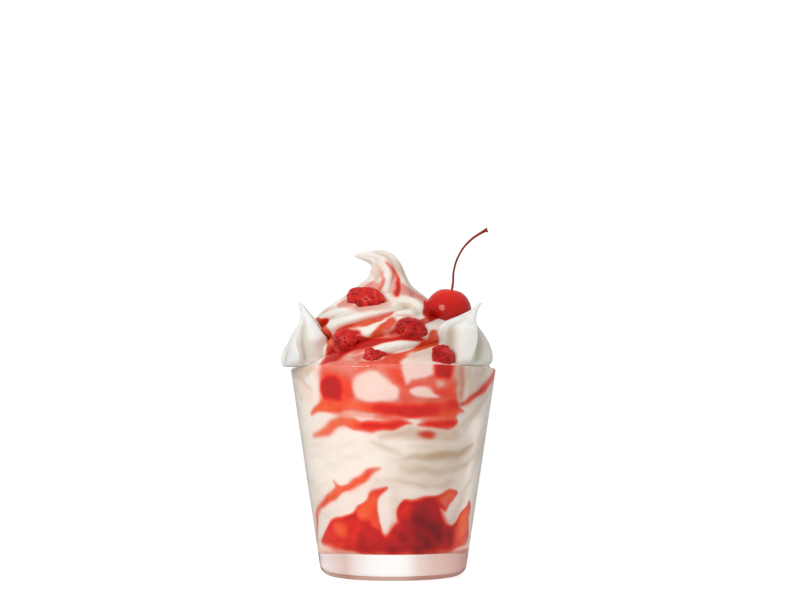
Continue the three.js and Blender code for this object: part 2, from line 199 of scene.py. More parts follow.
BERRIES = [  # node, azimuth, distance, z, roll, half sizes along, up and through, how dark
    ("strawberry_top", -29.5, 22.4, 112.3, 10, (8.6, 5.3, 4.6), 0.05),
    ("strawberry_left", -32, 35.8, 94.8, -20, (5.8, 4.8, 4.4), 0),
    ("strawberry_front", -12, 35.6, 87.8, 10, (5.6, 4.6, 4.2), 0.3),
    ("strawberry_middle", 12, 34.6, 99.2, 14, (6.3, 4.6, 4.4), 0.4),
    ("strawberry_right", 31.5, 36.4, 87.8, 0, (6.2, 5.1, 4.2), 0.6),
    ("strawberry_back_right", 128, 35.4, 97.5, 12, (6.8, 4.7, 4.5), 0.2),
    ("strawberry_back", 176, 36, 90.6, -10, (6, 4.6, 4.3), 0.7),
    ("strawberry_back_left", 226, 32.4, 103.4, 18, (7, 4.6, 4.5), 0.1),
]
SEEDS_ON_A_PIECE = 46
SEED_SIZES = (0.26, 0.2, 0.42)  # half sizes across, through and along
SEED_SUNK = 0.94
PIT_WIDTH = 0.085
PIT_DEPTH = 0.075
GOLDEN_TURN = 2.39996  # radians from one seed to the next

# ---------------------------------------------------------------- where the sauce lies on the glass

# Patches are closed outlines and strokes are paths, both in degrees and millimetres up the glass.
# Each is laid over those before it: amount of sauce, softness of the edge, points. A stroke's points
# have a half width too.
WALL_BLUR = 1.3  # how much softer the glass makes every edge
WALL_WOBBLE = (0.45, 0.35)  # how unevenly the edges run, along and up
MEAN_RADIUS = 35.5
BACK_DRIFT = 16  # degrees by which the marks behind wander from the mirrored ones in front
BACK_WAVES = [(2.5, 4, 60), (1.5, 9, 0)]  # height, waves in a turn, start in degrees
PULP = [(0.04, 3, 13), (0.015, 1, 14)]  # unevenness of the bottom sauce: strength, size of a lump, seed
PULP_TOP = (36, 40)
WALL_PATCHES = [
    (0.14, 1.4, [(-92, 8), (-92, 14.6), (-70, 14), (-30, 12), (30, 12), (70, 14.4), (92, 15), (92, 8)]),
    (0.38, 1.6, [(-46, 68), (-47, 74), (-46, 80), (-44, 84), (-40, 90), (37, 90), (37, 84), (38, 78),
                 (40, 71), (41, 66), (10, 66), (-20, 66)]),
    (0.56, 1.6, [(-42, 81), (-33, 81), (-24, 79), (-23, 75), (-25, 70), (-40, 69)]),
    (0.80, 0.9, [(-44.5, 79), (-40, 80.3), (-35, 80.3), (-31, 79), (-30, 75), (-31, 70), (-34, 68), (-42, 69),
                 (-45, 73.5), (-45.6, 76.3)]),
    (0.09, 1.1, [(-23, 77), (-21, 79.8), (-17.3, 82), (-12.7, 82.8), (-8.3, 82), (-4, 79.8), (-1, 77.5),
                 (3.2, 75.6), (4.2, 73.6), (1.5, 71.4), (-5, 70.6), (-16, 70.7), (-21, 72.5)]),
    (0.50, 1.0, [(-3.5, 84), (4, 83), (6.5, 79), (5, 76.5), (2.5, 76.7), (-1.8, 80)]),
    (0.44, 1.0, [(3.5, 77), (9.5, 78), (11, 71), (5, 70.5)]),
    (0.10, 0.8, [(5, 86), (22.5, 86), (22.5, 80.9), (15, 79.7), (10.4, 79), (7.7, 77.2), (6, 80)]),
    (0.44, 0.8, [(7, 76), (11.5, 78.2), (17.2, 79.4), (23.2, 80.8), (23.5, 77), (17, 76.6), (11, 74.8)]),
    (0.07, 0.8, [(10, 74.9), (14, 76.2), (18.5, 76.7), (22.5, 75.2), (27.5, 73), (22.6, 72.2), (14.2, 72.4)]),
    (0.46, 1.2, [(24, 80), (31, 80.6), (37, 79), (38, 77), (34, 76), (24, 75)]),
    (0.54, 1.0, [(23, 76), (30, 75.4), (36.5, 76.6), (38.5, 72), (31, 72), (26, 73.6)]),
    (0.20, 0.9, [(24, 78.3), (26.8, 79), (30.6, 78.2), (30, 76.6), (26, 76.4)]),
    (0.84, 0.9, [(22.5, 88), (34, 88), (33.4, 81), (28.6, 80.2), (23.6, 80.6)]),
    (0.78, 0.8, [(-69, 14), (-67.4, 15.4), (-63, 17.3), (-58.7, 19.3), (-51.9, 23.4), (-46.1, 24.4),
                 (-39.1, 24.9), (-31.8, 27), (-25.9, 28.5), (-22, 29.9), (-18.1, 32.3), (-15.8, 34.6),
                 (-10.9, 36.2), (-4.8, 37), (-7.5, 35.9), (-10.3, 33.5), (-11.8, 31.1), (-12, 28.4),
                 (-10, 25.3), (-9.5, 22.1), (-8.2, 19.4), (-5.3, 18.3), (-0.9, 19.8), (2.7, 22.5),
                 (3.5, 25.7), (3.3, 29.2), (4.6, 31.6), (8, 32.3), (14.9, 32.3), (22, 32.8), (28, 33.2),
                 (33.4, 34.1), (38, 36), (41.4, 36.6), (48.6, 35.1), (46.2, 32.7), (42.9, 30.4), (40.7, 28),
                 (38.1, 27.7), (34.3, 28.9), (32.9, 27.4), (35.2, 24.6), (40.2, 22.5), (45.2, 22),
                 (51.3, 23.4), (56.2, 26.5), (62, 28.8), (66, 31), (69, 28), (70, 22), (74, 15), (61, 13.1),
                 (48.4, 11.9), (33.5, 11.1), (20.7, 10.6), (5, 10.5), (-10, 10.7), (-26, 11.2), (-39.4, 11.8),
                 (-50, 12.6), (-58.5, 13.5)]),
    (0.64, 1.8, [(-64, 14.5), (-60, 17.5), (-52, 22.5), (-44, 23.6), (-36, 23.6), (-28, 26), (-24, 20),
                 (-30, 15), (-46, 12.6), (-56, 13.4)]),
    (0.52, 1.4, [(-46.5, 21.8), (-41, 22.6), (-37, 20.6), (-39, 18), (-45, 18)]),
    (0.54, 1.0, [(-27, 28), (-22, 30), (-18, 32.8), (-15, 35), (-6, 36.6), (-9, 34.6), (-12.5, 31),
                 (-13, 27.5), (-11.3, 24.5), (-10.5, 21), (-14, 22), (-17, 24.5), (-24, 25)]),
    (0.84, 2.2, [(-26, 12), (-26, 18), (-17, 21.5), (-9, 18), (-2, 19), (3, 23), (9, 24), (10, 12),
                 (-10, 11.5)]),
    (0.84, 2.4, [(10, 12), (9, 22), (12, 30), (30, 32), (36, 26), (44, 21), (52, 20), (54, 14), (40, 11.5)]),
    (0.95, 2.6, [(15, 13), (14, 24), (13.5, 30), (20, 31), (28, 31), (31, 25), (37, 20), (36, 14),
                 (24, 12.4)]),
    (0.66, 1.6, [(4, 25.5), (5, 30), (10, 31), (11.5, 26), (9, 25)]),
    (0.46, 0.9, [(33.5, 32.4), (38, 35.2), (41.4, 36), (48, 35), (45.4, 32.4), (42, 30), (40, 28.4),
                 (37, 29.2)]),
    (0.50, 1.8, [(53, 14), (53, 22.4), (58, 26), (64, 28.4), (68, 29), (71, 20), (72, 15)]),
]
WALL_STROKES = [
    (0.17, 1.2, [(-53, 85.5, 0.8), (-49, 84, 1.2), (-46, 82.4, 0.8)]),
    (0.07, 1.2, [(-78, 81, 2), (-66, 78, 3), (-58, 73, 3)]),
    (0.24, 1.2, [(41, 87, 1), (41.6, 80, 1.2), (42.6, 73, 1)]),
    (0.34, 1.6, [(-68, 14.2, 0.5), (-58, 13, 0.5), (-40, 11.4, 0.5), (-20, 10.9, 0.4), (5, 10.7, 0.4),
                 (26, 11, 0.5), (48, 12, 0.6), (64, 13.6, 0.6), (76, 16, 0.5)]),
    (0.22, 1.0, [(-38, 66.6, 0.8), (-24, 66, 1.3), (-12, 65, 1.4)]),
    (0.38, 1.2, [(-10, 65, 0.8), (-4, 64.5, 1.4), (4, 63.6, 1.2), (8, 63.4, 0.5)]),
    (0.42, 1.2, [(17, 63.4, 0.5), (26, 64, 1.1), (38, 65, 1)]),
    (0.54, 1.2, [(-57.5, 66.3, 0.5), (-52, 67.9, 1.4), (-45, 69.2, 1.9), (-39, 69.6, 2.2), (-33, 69, 1.6)]),
    (0.50, 1.0, [(-40, 69, 1.3), (-32, 68.9, 1.3), (-22, 68.5, 1.4), (-14, 68.4, 1.5)]),
    (0.62, 1.1, [(-15, 68.4, 1), (-10, 68.2, 1.6), (-4, 67.6, 2.1), (4, 67.2, 2.4), (13, 67, 2.4),
                 (22, 67.1, 2.5), (29, 67.4, 2.7), (34, 67.9, 3), (38, 68.2, 2.8), (42, 67.4, 1),
                 (46, 67, 0.4)]),
    (0.74, 1.2, [(-10, 68.2, 0.6), (-4, 67.6, 1.3), (4, 67.3, 1.8), (14, 67, 1.8), (22, 67.2, 1.3),
                 (28, 67.5, 0.5)]),
    (0.40, 1.2, [(-57.5, 57.6, 0.9), (-51, 58, 1.4), (-44, 59.5, 1.7), (-38, 61.9, 2.1), (-32, 63.1, 2.4),
                 (-27, 62.6, 2.1), (-23, 61.8, 1.6)]),
    (0.56, 1.0, [(-25, 62.3, 1.5), (-19, 61.2, 1.8), (-12.5, 60.8, 2.3), (-5, 61.2, 2), (2, 61.8, 1.4),
                 (7, 62, 0.8), (10.5, 61.9, 0.3)]),
    (0.68, 1.0, [(-17, 61.3, 0.7), (-11, 61, 1.4), (-4, 61.4, 1.4), (3, 62, 0.8), (7, 62, 0.3)]),
    (0.62, 1.0, [(15, 61.5, 0.4), (19, 61.9, 1), (24, 62.2, 1.5), (32, 62, 1.8), (37, 62.2, 1.8),
                 (40, 62.8, 1.3)]),
    (0.74, 1.2, [(22, 62, 0.5), (31, 62, 1.1), (37, 62.2, 0.8)]),
    (0.30, 1.2, [(17, 58, 1.3), (21, 57.7, 2), (25, 57.7, 1.3)]),
    (0.60, 0.9, [(19, 58, 0.6), (21, 57.8, 0.9), (22.5, 57.6, 0.6)]),
    (0.14, 1.4, [(44, 69.8, 1.4), (52, 72.4, 2), (62, 76, 2.6), (74, 80, 3), (100, 84, 3)]),
    (0.52, 0.9, [(44, 69.8, 0.5), (50.5, 72, 0.9), (56, 73.8, 1), (62, 76, 1.4), (68, 78, 1.5),
                 (75, 80.6, 1.9), (82, 83.5, 2), (100, 85, 2)]),
    (0.66, 0.9, [(56, 73.8, 0.4), (62, 75.9, 0.8), (68, 77.8, 0.9), (74, 80, 0.7)]),
    (0.16, 1.4, [(-76, 19, 1.6), (-71, 24.2, 2), (-65, 28, 2), (-56, 31, 2), (-48, 33, 2), (-40, 35, 2),
                 (-32, 36.6, 2), (-24, 39, 2), (-17, 41.6, 2), (-12, 44, 1)]),
    (0.40, 1.0, [(-79, 15, 1), (-76, 19.2, 1.2), (-71.3, 24.2, 1.2), (-65, 28, 1.1), (-58, 30.2, 1)]),
    (0.52, 1.0, [(-60, 29.6, 0.7), (-56.5, 30.7, 1), (-50, 32.7, 1.2), (-44, 34, 1.4), (-39, 35.7, 1.7),
                 (-35, 36.7, 1.3), (-30, 37.5, 1.1), (-24, 39.4, 1.3), (-19, 41, 1.7), (-15.5, 42.8, 1.6),
                 (-12.5, 44.2, 1), (-10, 45, 0.4)]),
    (0.44, 0.9, [(-39, 36.4, 1.4), (-41.5, 37.8, 0.9), (-44, 39.4, 0.4)]),
]
# Orange places in the sauce, as marks are.
WALL_WARMTH = [
    (0.60, 1.4, [(-57, 66.4, 0.8), (-51, 68, 1.6), (-44, 69.2, 1.8), (-39, 69, 1)]),
    (0.45, 1.4, [(-38, 69, 1.2), (-26, 68.6, 1.4), (-15, 68.3, 1)]),
    (0.65, 1.4, [(-56, 57.8, 1), (-48, 58.6, 1.5), (-40, 61.2, 2), (-32, 63.2, 2.2), (-26, 62.4, 1.6)]),
    (0.50, 1.2, [(-50, 32.7, 1.2), (-40, 35.6, 2), (-30, 37.6, 1.2), (-20, 40.6, 1.4)]),
    (0.70, 2, [(-44, 20.2, 1.6), (-40, 20.6, 1.6), (-38, 19, 0.8)]),
    (0.45, 1.4, [(-20, 27, 2), (-13, 32, 2), (-10, 24, 1)]),
    (0.50, 1.4, [(40, 34.4, 1.8), (44, 33.2, 1.6)]),
    (0.90, 2, [(58, 24, 2), (63, 25, 2), (62, 18, 1.8)]),
    (0.40, 1.2, [(44, 66, 1), (38, 66, 1.2), (30, 65.2, 0.8)]),
    (0.45, 1.2, [(78, 82, 1.5), (70, 78.6, 1)]),
]
# Painted shade of folds and darker edges of the soft serve behind the glass: depth of shade, softness,
# points.
WALL_FOLDS = [
    (0.28, 4, [(-90, 30, 4), (-84, 50, 4), (-82, 70, 4)]),
    (0.12, 4, [(86, 20, 4), (84, 40, 5), (84, 60, 5), (86, 76, 4)]),
    (0.42, 3, [(47, 88, 3), (52, 80, 6), (60, 75, 5)]),
    (0.25, 0.9, [(51, 84, 0.8), (52, 79.6, 1.2), (53, 76, 0.8)]),
    (0.64, 1.2, [(-88, 84, 1.4), (-77, 83.8, 1.6), (-66, 83.4, 2.2), (-57, 83.6, 2), (-50, 84.6, 1)]),
    (0.52, 0.9, [(-68, 82, 1.4), (-63.3, 80.7, 1.1), (-58.3, 77.8, 0.9), (-54.9, 75.3, 0.6)]),
    (0.40, 1.0, [(-80, 78.6, 0.6), (-76.4, 77, 0.9), (-71.3, 74.8, 1), (-66.2, 71.9, 0.7)]),
    (0.35, 5, [(8, 44, 6), (24, 46, 9), (40, 46, 9), (50, 49, 5)]),
    (0.75, 1.4, [(39, 88, 1.6), (40, 82, 1.8), (41.6, 75, 1.7), (43.6, 69.6, 1.2)]),
    (0.45, 1.6, [(62, 88, 2), (58, 83, 2.6), (52, 79, 1.4)]),
    (0.72, 1.3, [(-8, 56.5, 0.5), (-2, 57.4, 1.2), (6, 58, 2), (15, 57.8, 2.2), (28, 57.5, 2.2),
                 (40, 57.6, 2.1), (43, 57.6, 1.2)]),
    (0.50, 1.2, [(-13, 54.8, 0.8), (-7, 53.6, 1.3), (-1, 51.8, 1.1), (4.5, 49.6, 0.7)]),
    (0.90, 1.0, [(6.5, 48.6, 0.4), (13, 49.2, 1.1), (22, 49.3, 1.5), (33, 49.4, 1.6), (42, 49.7, 1.3),
                 (50, 50.9, 0.8), (59, 53.6, 0.4)]),
    (0.72, 1.1, [(5, 45, 0.5), (12, 44.2, 1.2), (23, 43.4, 1.6), (35, 43.3, 1.6), (45, 44.2, 1.2),
                 (55, 46.6, 0.9), (64, 49.8, 0.5)]),
    (0.60, 1.0, [(-4, 40, 0.5), (4, 39.4, 0.8), (14, 38.5, 1), (25, 37.8, 1), (34, 38, 0.9),
                 (41, 39.6, 0.5)]),
    (0.35, 1.0, [(10, 53.4, 0.6), (22, 53, 1), (36, 53, 0.9), (44, 53.6, 0.5)]),
    (0.35, 0.9, [(14, 41, 0.4), (26, 40.6, 0.7), (38, 41, 0.6), (48, 42.6, 0.4)]),
    (0.50, 1.3, [(43, 60.6, 0.7), (50, 63, 1.3), (58, 67, 1.4), (66, 71.4, 1.2), (76, 76, 0.7)]),
    (0.40, 1.0, [(44, 57, 0.5), (48, 59, 0.9), (53, 63, 0.9), (58, 69, 0.6)]),
    (0.35, 1.3, [(62, 44, 0.7), (66, 50, 1), (70, 58, 1.2), (76, 68, 0.8)]),
    (0.45, 1.3, [(52, 34, 0.8), (60, 38, 1.5), (68, 46, 1.5), (76, 56, 1)]),
    (0.16, 2.0, [(-66, 49, 0.8), (-52, 51, 1.8), (-38, 53.4, 1.8), (-26, 55, 0.8)]),
    (0.14, 2.0, [(-60, 42, 0.8), (-46, 44.6, 1.8), (-32, 47.6, 1.6), (-22, 49, 0.8)]),
    (0.20, 1.0, [(-62, 54, 0.4), (-56, 53.4, 1), (-50, 54.4, 0.4)]),
    (0.20, 1.0, [(-38, 52.2, 0.4), (-33, 52.8, 1), (-28, 54.6, 0.4)]),
    (0.25, 2.0, [(-16, 36, 0.8), (-7, 39, 2), (2, 36, 2), (2, 28, 1.6)]),
    (0.30, 1.6, [(-1, 20.6, 0.8), (1, 25, 1.2), (1, 33, 1.2)]),
    (0.45, 1.6, [(44, 23, 1), (50, 26, 1.6), (54, 31, 1.6), (60, 34, 1.2)]),
]

# ---------------------------------------------------------------- where the sauce lies on the swirl

# Marks as the glass's are, but laid out in x and z on the upright plane through the axis, as an eye in
# front of it sees them.
EYE_DISTANCE = 600
EYE_HEIGHT = 58.4
SWIRL_WOBBLE = 0.18
SWIRL_PATCHES = [
    (0.20, 1.2, [(-20.5, 113.5), (-19, 118), (-15.5, 119.5), (-11.5, 121), (-9, 121.5), (-5.5, 121),
                 (-4.5, 118.5), (-2, 114.5), (-0.5, 111.5), (-4, 110), (-9, 109), (-14, 108.5),
                 (-18, 110.5)]),
    (0.28, 0.6, [(-23.5, 111), (-22, 113), (-19, 114.5), (-17, 111), (-20, 110.5)]),
    (0.30, 0.6, [(-12.5, 119.5), (-9, 121.3), (-6.5, 122), (-4.5, 124), (-3.7, 122), (-4.2, 120), (-6, 118),
                 (-8, 117.5), (-10.5, 118)]),
    (0.07, 0.8, [(-7.5, 129.5), (-5.5, 128.5), (-4.5, 125.5), (-4.5, 122), (-6, 121), (-8, 122),
                 (-8.5, 125.5)]),
    (0.30, 0.6, [(2, 121), (4.5, 120.5), (8, 118), (11, 116), (14.5, 113.8), (13, 112), (9.5, 114.5),
                 (6, 115.5), (3, 116), (2, 118)]),
    (0.68, 0.5, [(-32.5, 106.5), (-30, 106), (-27, 106), (-28, 103.5), (-31, 103)]),
    (0.36, 0.8, [(-28.5, 86), (-22, 89.5), (-17, 93), (-11.5, 94.8), (-8.5, 94.2), (-11, 91.5), (-12.5, 89.5),
                 (-12.5, 86)]),
    (0.24, 0.6, [(-21, 89), (-18, 91.5), (-16.5, 91), (-17.5, 88.6)]),
    (0.47, 0.7, [(-9.5, 98.3), (-7, 102), (-4, 104.5), (-1, 106.5), (0.8, 106), (2, 104.5), (1.2, 102),
                 (3.2, 99.3), (-0.5, 98.3), (-5.5, 97.8)]),
    (0.30, 0.5, [(-4.5, 99), (-4, 101.5), (-2, 101), (-2.2, 98.8)]),
    (0.56, 0.6, [(-7.5, 92), (-3.5, 91.7), (2, 91.7), (8, 93.2), (11, 96), (10, 97), (13.5, 96.8),
                 (15.3, 100.6), (18, 101.2), (18.8, 98.5), (18.8, 95.3), (15.5, 94), (11, 92.4), (7, 90.6),
                 (3.5, 88.5), (1, 86), (-12, 86), (-4, 89.4)]),
    (0.74, 0.6, [(-30.5, 86.5), (-28.3, 90), (-28, 93), (-27, 96), (-25.5, 97.5), (-20, 101.3),
                 (-14.5, 101.3), (-12, 98.2), (-5.5, 97.8), (-0.5, 98.2), (4.7, 99.3), (9, 98), (13, 97.5),
                 (12, 96.4), (4.5, 97.2), (-1.5, 96.3), (-7.5, 94.8), (-13, 93.6), (-17, 92.6), (-20.5, 90.6),
                 (-23, 88.7), (-26.5, 87.6)]),
    (0.50, 0.5, [(10.5, 105), (13, 106.2), (16, 106.2), (18.5, 106), (14.5, 104.3), (11.5, 103.5)]),
    (0.10, 0.8, [(6, 91.5), (11, 92), (19, 94), (21, 86), (6, 86)]),
]
SWIRL_STROKES = [
    (0.15, 0.9, [(-24, 101, 1.2), (-15.5, 103.6, 2), (-8, 105.8, 1.9), (-0.5, 108.5, 1)]),
    (0.54, 0.6, [(-23.5, 100.8, 0.5), (-20, 102, 0.7), (-15.5, 103.2, 0.9), (-12, 104, 1), (-8, 105.2, 0.9),
                 (-4, 106.6, 0.6), (-0.5, 108.2, 0.2)]),
    (0.55, 0.5, [(-31, 104.6, 0.8), (-29.6, 102.4, 1.4), (-28, 100, 1.7), (-26.4, 97.6, 1.7),
                 (-26, 95.5, 1.4)]),
    (0.30, 0.8, [(-4.6, 125.5, 0.4), (-4.4, 121.5, 0.9), (-6, 118.4, 1)]),
    (0.44, 0.7, [(-4.3, 122.4, 0.1), (-4.8, 120, 0.3), (-6, 117.8, 0.5)]),
    (0.26, 1.2, [(-3, 130, 0.3), (-1, 127.6, 0.9), (0.4, 124.6, 1.5), (1.3, 121, 2), (1, 117, 2.4)]),
    (0.46, 0.9, [(-2.6, 129.4, 0.1), (-0.4, 127, 0.3), (1.2, 124.4, 0.5), (2, 121.4, 0.7), (1.9, 118.6, 0.9),
                 (1.4, 116.4, 1)]),
    (0.84, 0.9, [(2, 122.8, 0.1), (2.4, 120, 0.4), (2, 117.6, 0.7), (1.4, 116.2, 0.6)]),
    (0.62, 0.4, [(-8, 99.5, 0.5), (-5, 102.5, 0.7), (-2, 105.3, 0.4)]),
    (0.26, 0.4, [(-3, 98.8, 0.4), (-0.6, 101.6, 0.5), (0.6, 104.4, 0.3)]),
    (0.72, 0.5, [(13.2, 113, 0.6), (13.8, 110.5, 1), (14, 108, 1.6), (16, 106.8, 1.4), (19, 107, 0.8)]),
    (0.18, 0.6, [(1, 107.5, 0.4), (6, 107.3, 0.6), (11, 106, 0.6)]),
    (0.50, 0.7, [(-14, 87.3, 0.8), (-8, 87.6, 1.3), (-2, 88.2, 1.1), (2, 88.6, 0.6)]),
]
# Painted shade in the swirl's creases and on its peak.
SWIRL_FOLDS = [
    (0.40, 0.5, [(-26.5, 106, 0.3), (-20, 107.5, 0.3), (-14, 109, 0.3), (-7.5, 110.5, 0.3)]),
    (0.35, 0.7, [(-7.5, 110, 0.4), (0.5, 110.4, 0.9), (5.5, 109.8, 0.3)]),
    (0.62, 0.9, [(-8, 134.2, 0.6), (-4, 132.6, 0.8), (-0.1, 129.8, 1.2), (3.6, 126.6, 1.9), (6.2, 123, 1.9),
                 (8.6, 119.4, 1.7), (12, 116, 1.4)]),
    (0.45, 0.8, [(1.5, 111.8, 0.6), (5, 111.6, 1.2), (8, 110.4, 1.2), (10, 108.4, 0.8)]),
    (0.35, 0.8, [(-7.2, 130, 0.5), (-6.5, 126, 1.2), (-6.8, 122.5, 1.2)]),
    (0.30, 1.0, [(8, 90.5, 1), (14, 92, 1.2), (18, 90, 1.4)]),
]
# Orange places.
SWIRL_WARMTH = [
    (0.6, 0.8, [(-22, 102, 0.8), (-16, 103.4, 1), (-10, 105, 1)]),
    (0.6, 0.8, [(-31, 104.6, 0.6), (-28, 100, 1.4), (-26, 96, 1)]),
    (0.5, 0.8, [(-5, 120, 0.5), (-6, 118, 0.8)]),
    (0.5, 1.0, [(4, 89.6, 1), (10, 92.4, 1.4), (16, 96, 1.4), (17.4, 100, 1)]),
    (0.4, 1.0, [(-8, 99, 1), (-5, 103, 1), (-1, 105.6, 0.6)]),
    (0.5, 0.8, [(-3.4, 130, 0.5), (-1, 127.6, 0.7)]),
]
BACK_SAUCE = 0.62  # in the swirl's grooves behind
BACK_FADE = (66, 88)  # azimuths between which the marks of the front give way to the grooves'
BARE_PEAK = (118, 128)

# ---------------------------------------------------------------- small maths


def along(rows, t):
    """Smooth values of every column of a table at places t, counted in rows."""
    last = len(rows) - 1
    first = np.minimum(np.floor(t).astype(int), last - 1)
    f = (t - first)[:, None]
    a, b, c, d = (rows[np.clip(first + step, 0, last)] for step in (-1, 0, 1, 2))
    return b + 0.5 * f * (c - a + f * (2 * a - 5 * b + 4 * c - d + f * (3 * (b - c) + d - a)))


def evenly(rows, steps):
    """Places along a table's path, evenly spaced by length. The first columns are its points."""
    fine = np.linspace(0, len(rows) - 1, 40 * len(rows))
    runs = np.linalg.norm(np.diff(along(rows, fine)[:, :3], axis=0), axis=1)
    length = np.concatenate([[0], np.cumsum(runs)])
    return np.interp(np.linspace(0, length[-1], steps + 1), length, fine)


def apart(start, end):
    """Degrees from one azimuth to another, the short way round."""
    return (end - start + 180) % 360 - 180


def smooth(low, high, value):
    """0 below low, 1 above high, and a soft step between."""
    share = np.clip((value - low) / (high - low), 0, 1)
    return share * share * (3 - 2 * share)


def around(radius, azimuth, z):
    """Points at a distance from the axis, at an azimuth in degrees."""
    turn = np.radians(azimuth)
    return np.stack(np.broadcast_arrays(radius * np.sin(turn), -radius * np.cos(turn), z), axis=-1)


def azimuth_of(at):
    return np.degrees(np.arctan2(at[:, 0], -at[:, 1]))


def waves(table, azimuth):
    """Height of a few waves round the axis."""
    return sum(height * np.sin(np.radians(count * azimuth + start)) for height, count, start in table)


def ripple(points, size, seed, parts=9):
    """Smooth uneven values near -1 to 1 over points, in lumps of about that size."""
    draw = np.random.default_rng(seed)
    total = np.zeros(len(points))
    for _ in range(parts):
        heading = draw.normal(size=points.shape[1])
        heading *= draw.uniform(0.7, 1.4) / np.linalg.norm(heading)
        total += np.sin(points @ heading * (2 * math.pi / (2.2 * size)) + draw.uniform(0, 2 * math.pi))
    return total / math.sqrt(parts)


def glass_radius(z):
    return GLASS_ROOT_RADIUS + GLASS_FLARE * z


def wall(z):
    return WALL_AT_FOOT + (WALL_AT_RIM - WALL_AT_FOOT) * z / GLASS_HEIGHT


FLOOR_CORNER_HEIGHT = FLOOR_HEIGHT + FLOOR_ROUND
FLOOR_CORNER_RADIUS = glass_radius(FLOOR_CORNER_HEIGHT) - wall(FLOOR_CORNER_HEIGHT) - FLOOR_ROUND


def fill_radius(z):
    """Radius of the contents at a height, a little into the wall."""
    straight = glass_radius(z) - wall(z) + INTO_WALL
    drop = np.clip(FLOOR_CORNER_HEIGHT - z, 0, FLOOR_ROUND + INTO_WALL)
    rounded = FLOOR_CORNER_RADIUS + np.sqrt((FLOOR_ROUND + INTO_WALL) ** 2 - drop**2)
    return np.where(z < FLOOR_CORNER_HEIGHT, rounded, straight)


# ---------------------------------------------------------------- meshes


def begin(name, primitive, **settings):
    """A new piece, from a primitive at its size and place."""
    bpy.ops.object.select_all(action="DESELECT")
    primitive(**settings)
    piece = bpy.context.object
    piece.name = piece.data.name = name
    return piece


def pick(piece):
    """Selects one piece and nothing else."""
    bpy.ops.object.select_all(action="DESELECT")
    bpy.context.view_layer.objects.active = piece
    piece.select_set(True)


def shaped(name, columns, rings, place):
    """A closed skin: a sphere whose every vertex goes to place's point for its azimuth and ring."""
    piece = begin(name, bpy.ops.mesh.primitive_uv_sphere_add, segments=columns, ring_count=rings, radius=1)
    at = vertices(piece)
    azimuth = azimuth_of(at)
    ring = np.rint(np.arccos(np.clip(at[:, 2], -1, 1)) / math.pi * rings).astype(int)
    move(piece, place(azimuth, ring))
    face_out(piece)
    return piece


def vertices(piece):
    """A piece's vertices, in the mesh's own unit."""
    at = np.empty(3 * len(piece.data.vertices))
    piece.data.vertices.foreach_get("co", at)
    return at.reshape(-1, 3)


def move(piece, points):
    """Puts a piece's vertices at points, in millimetres."""
    piece.data.vertices.foreach_set("co", (points * MM).ravel())
    piece.data.update()


def face_out(piece):
    """Makes every face of a closed piece point outwards, and shades it smooth."""
    pick(piece)
    bpy.ops.object.mode_set(mode="EDIT")
    bpy.ops.mesh.select_all(action="SELECT")
    bpy.ops.mesh.normals_make_consistent(inside=False)
    bpy.ops.object.mode_set(mode="OBJECT")
    bpy.ops.object.shade_smooth()


def apply(piece, kind, **settings):
    """Adds a modifier with its settings and applies it."""
    pick(piece)
    modifier = piece.modifiers.new(kind.lower(), kind)
    for key, value in settings.items():
        setattr(modifier, key, value)
    bpy.ops.object.modifier_apply(modifier=modifier.name)


def relax(piece, centre, reach):
    """Evens out a piece's skin round a place, less and less towards its reach."""
    group = piece.vertex_groups.new(name="relaxed")
    away = np.linalg.norm(vertices(piece) / MM - centre, axis=1)
    for index in np.flatnonzero(away < reach):
        group.add([int(index)], float(1 - smooth(0.5, 1, away[index] / reach)), "REPLACE")
    apply(piece, "SMOOTH", factor=0.5, iterations=HOOK_PASSES, vertex_group="relaxed")
    piece.vertex_groups.clear()


def note(piece, name, values):
    """Stores a value for each vertex, for the piece's material."""
    piece.data.attributes.new(name, "FLOAT", "POINT").data.foreach_set("value", values.astype(np.float32))


def groove(turns):
    """Depth of a flute's groove, 0 on the crest to 1 in the valley."""
    place = turns - np.round(turns)
    half = np.where(place > CREST_PLACE, 0.5 - CREST_PLACE, 0.5 + CREST_PLACE)
    return np.abs((place - CREST_PLACE) / half) ** GROOVE_SHAPE


def pressed(azimuth, z):
    """Depth to which the dollops press into the swirl."""
    total = 0
    for centre, width, height, reach, depth in SWIRL_HOLLOWS:
        off = (apart(centre, azimuth) / width) ** 2 + ((z - height) / reach) ** 2
        total = total + depth * np.exp(-off)
    return total


def petal(turns):
    """Depth of a petal's hollow, 0 on its sharp ridge to 1 at the bottom just past it."""
    place = turns % 1
    past = np.sin(0.5 * math.pi * np.minimum(place / RIDGE_SHARE, 1))
    return np.where(place < RIDGE_SHARE, past, ((1 - place) / (1 - RIDGE_SHARE)) ** PETAL_SHAPE)


def tower(name, columns, rows, steps, flutes, cut, depth=0, stretch=1, reach_at=None, height_at=None):
    """A fluted tower whose first and last rings close it on its axis."""
    spaced = evenly(rows, steps)

    def place(azimuth, ring):
        step = np.clip(steps + 1 - ring, 0, steps)
        x, z, radius, lean, twist, deep = along(rows, spaced[step]).T
        facing = azimuth + twist
        reach = radius - deep * cut(azimuth * flutes / 360)
        if reach_at:
            z = height_at(facing, z)
            reach = reach_at(facing, z, reach)
        reach = np.where((ring == 0) | (ring == steps + 2), 0, reach)
        across, back, _ = around(reach, facing, 0).T
        tilt = np.radians(lean)
        x, y, z = x + across * np.cos(tilt), depth + back * stretch, z + across * np.sin(tilt)
        return np.stack([x, y, z], axis=-1)

    return shaped(name, columns, steps + 2, place)


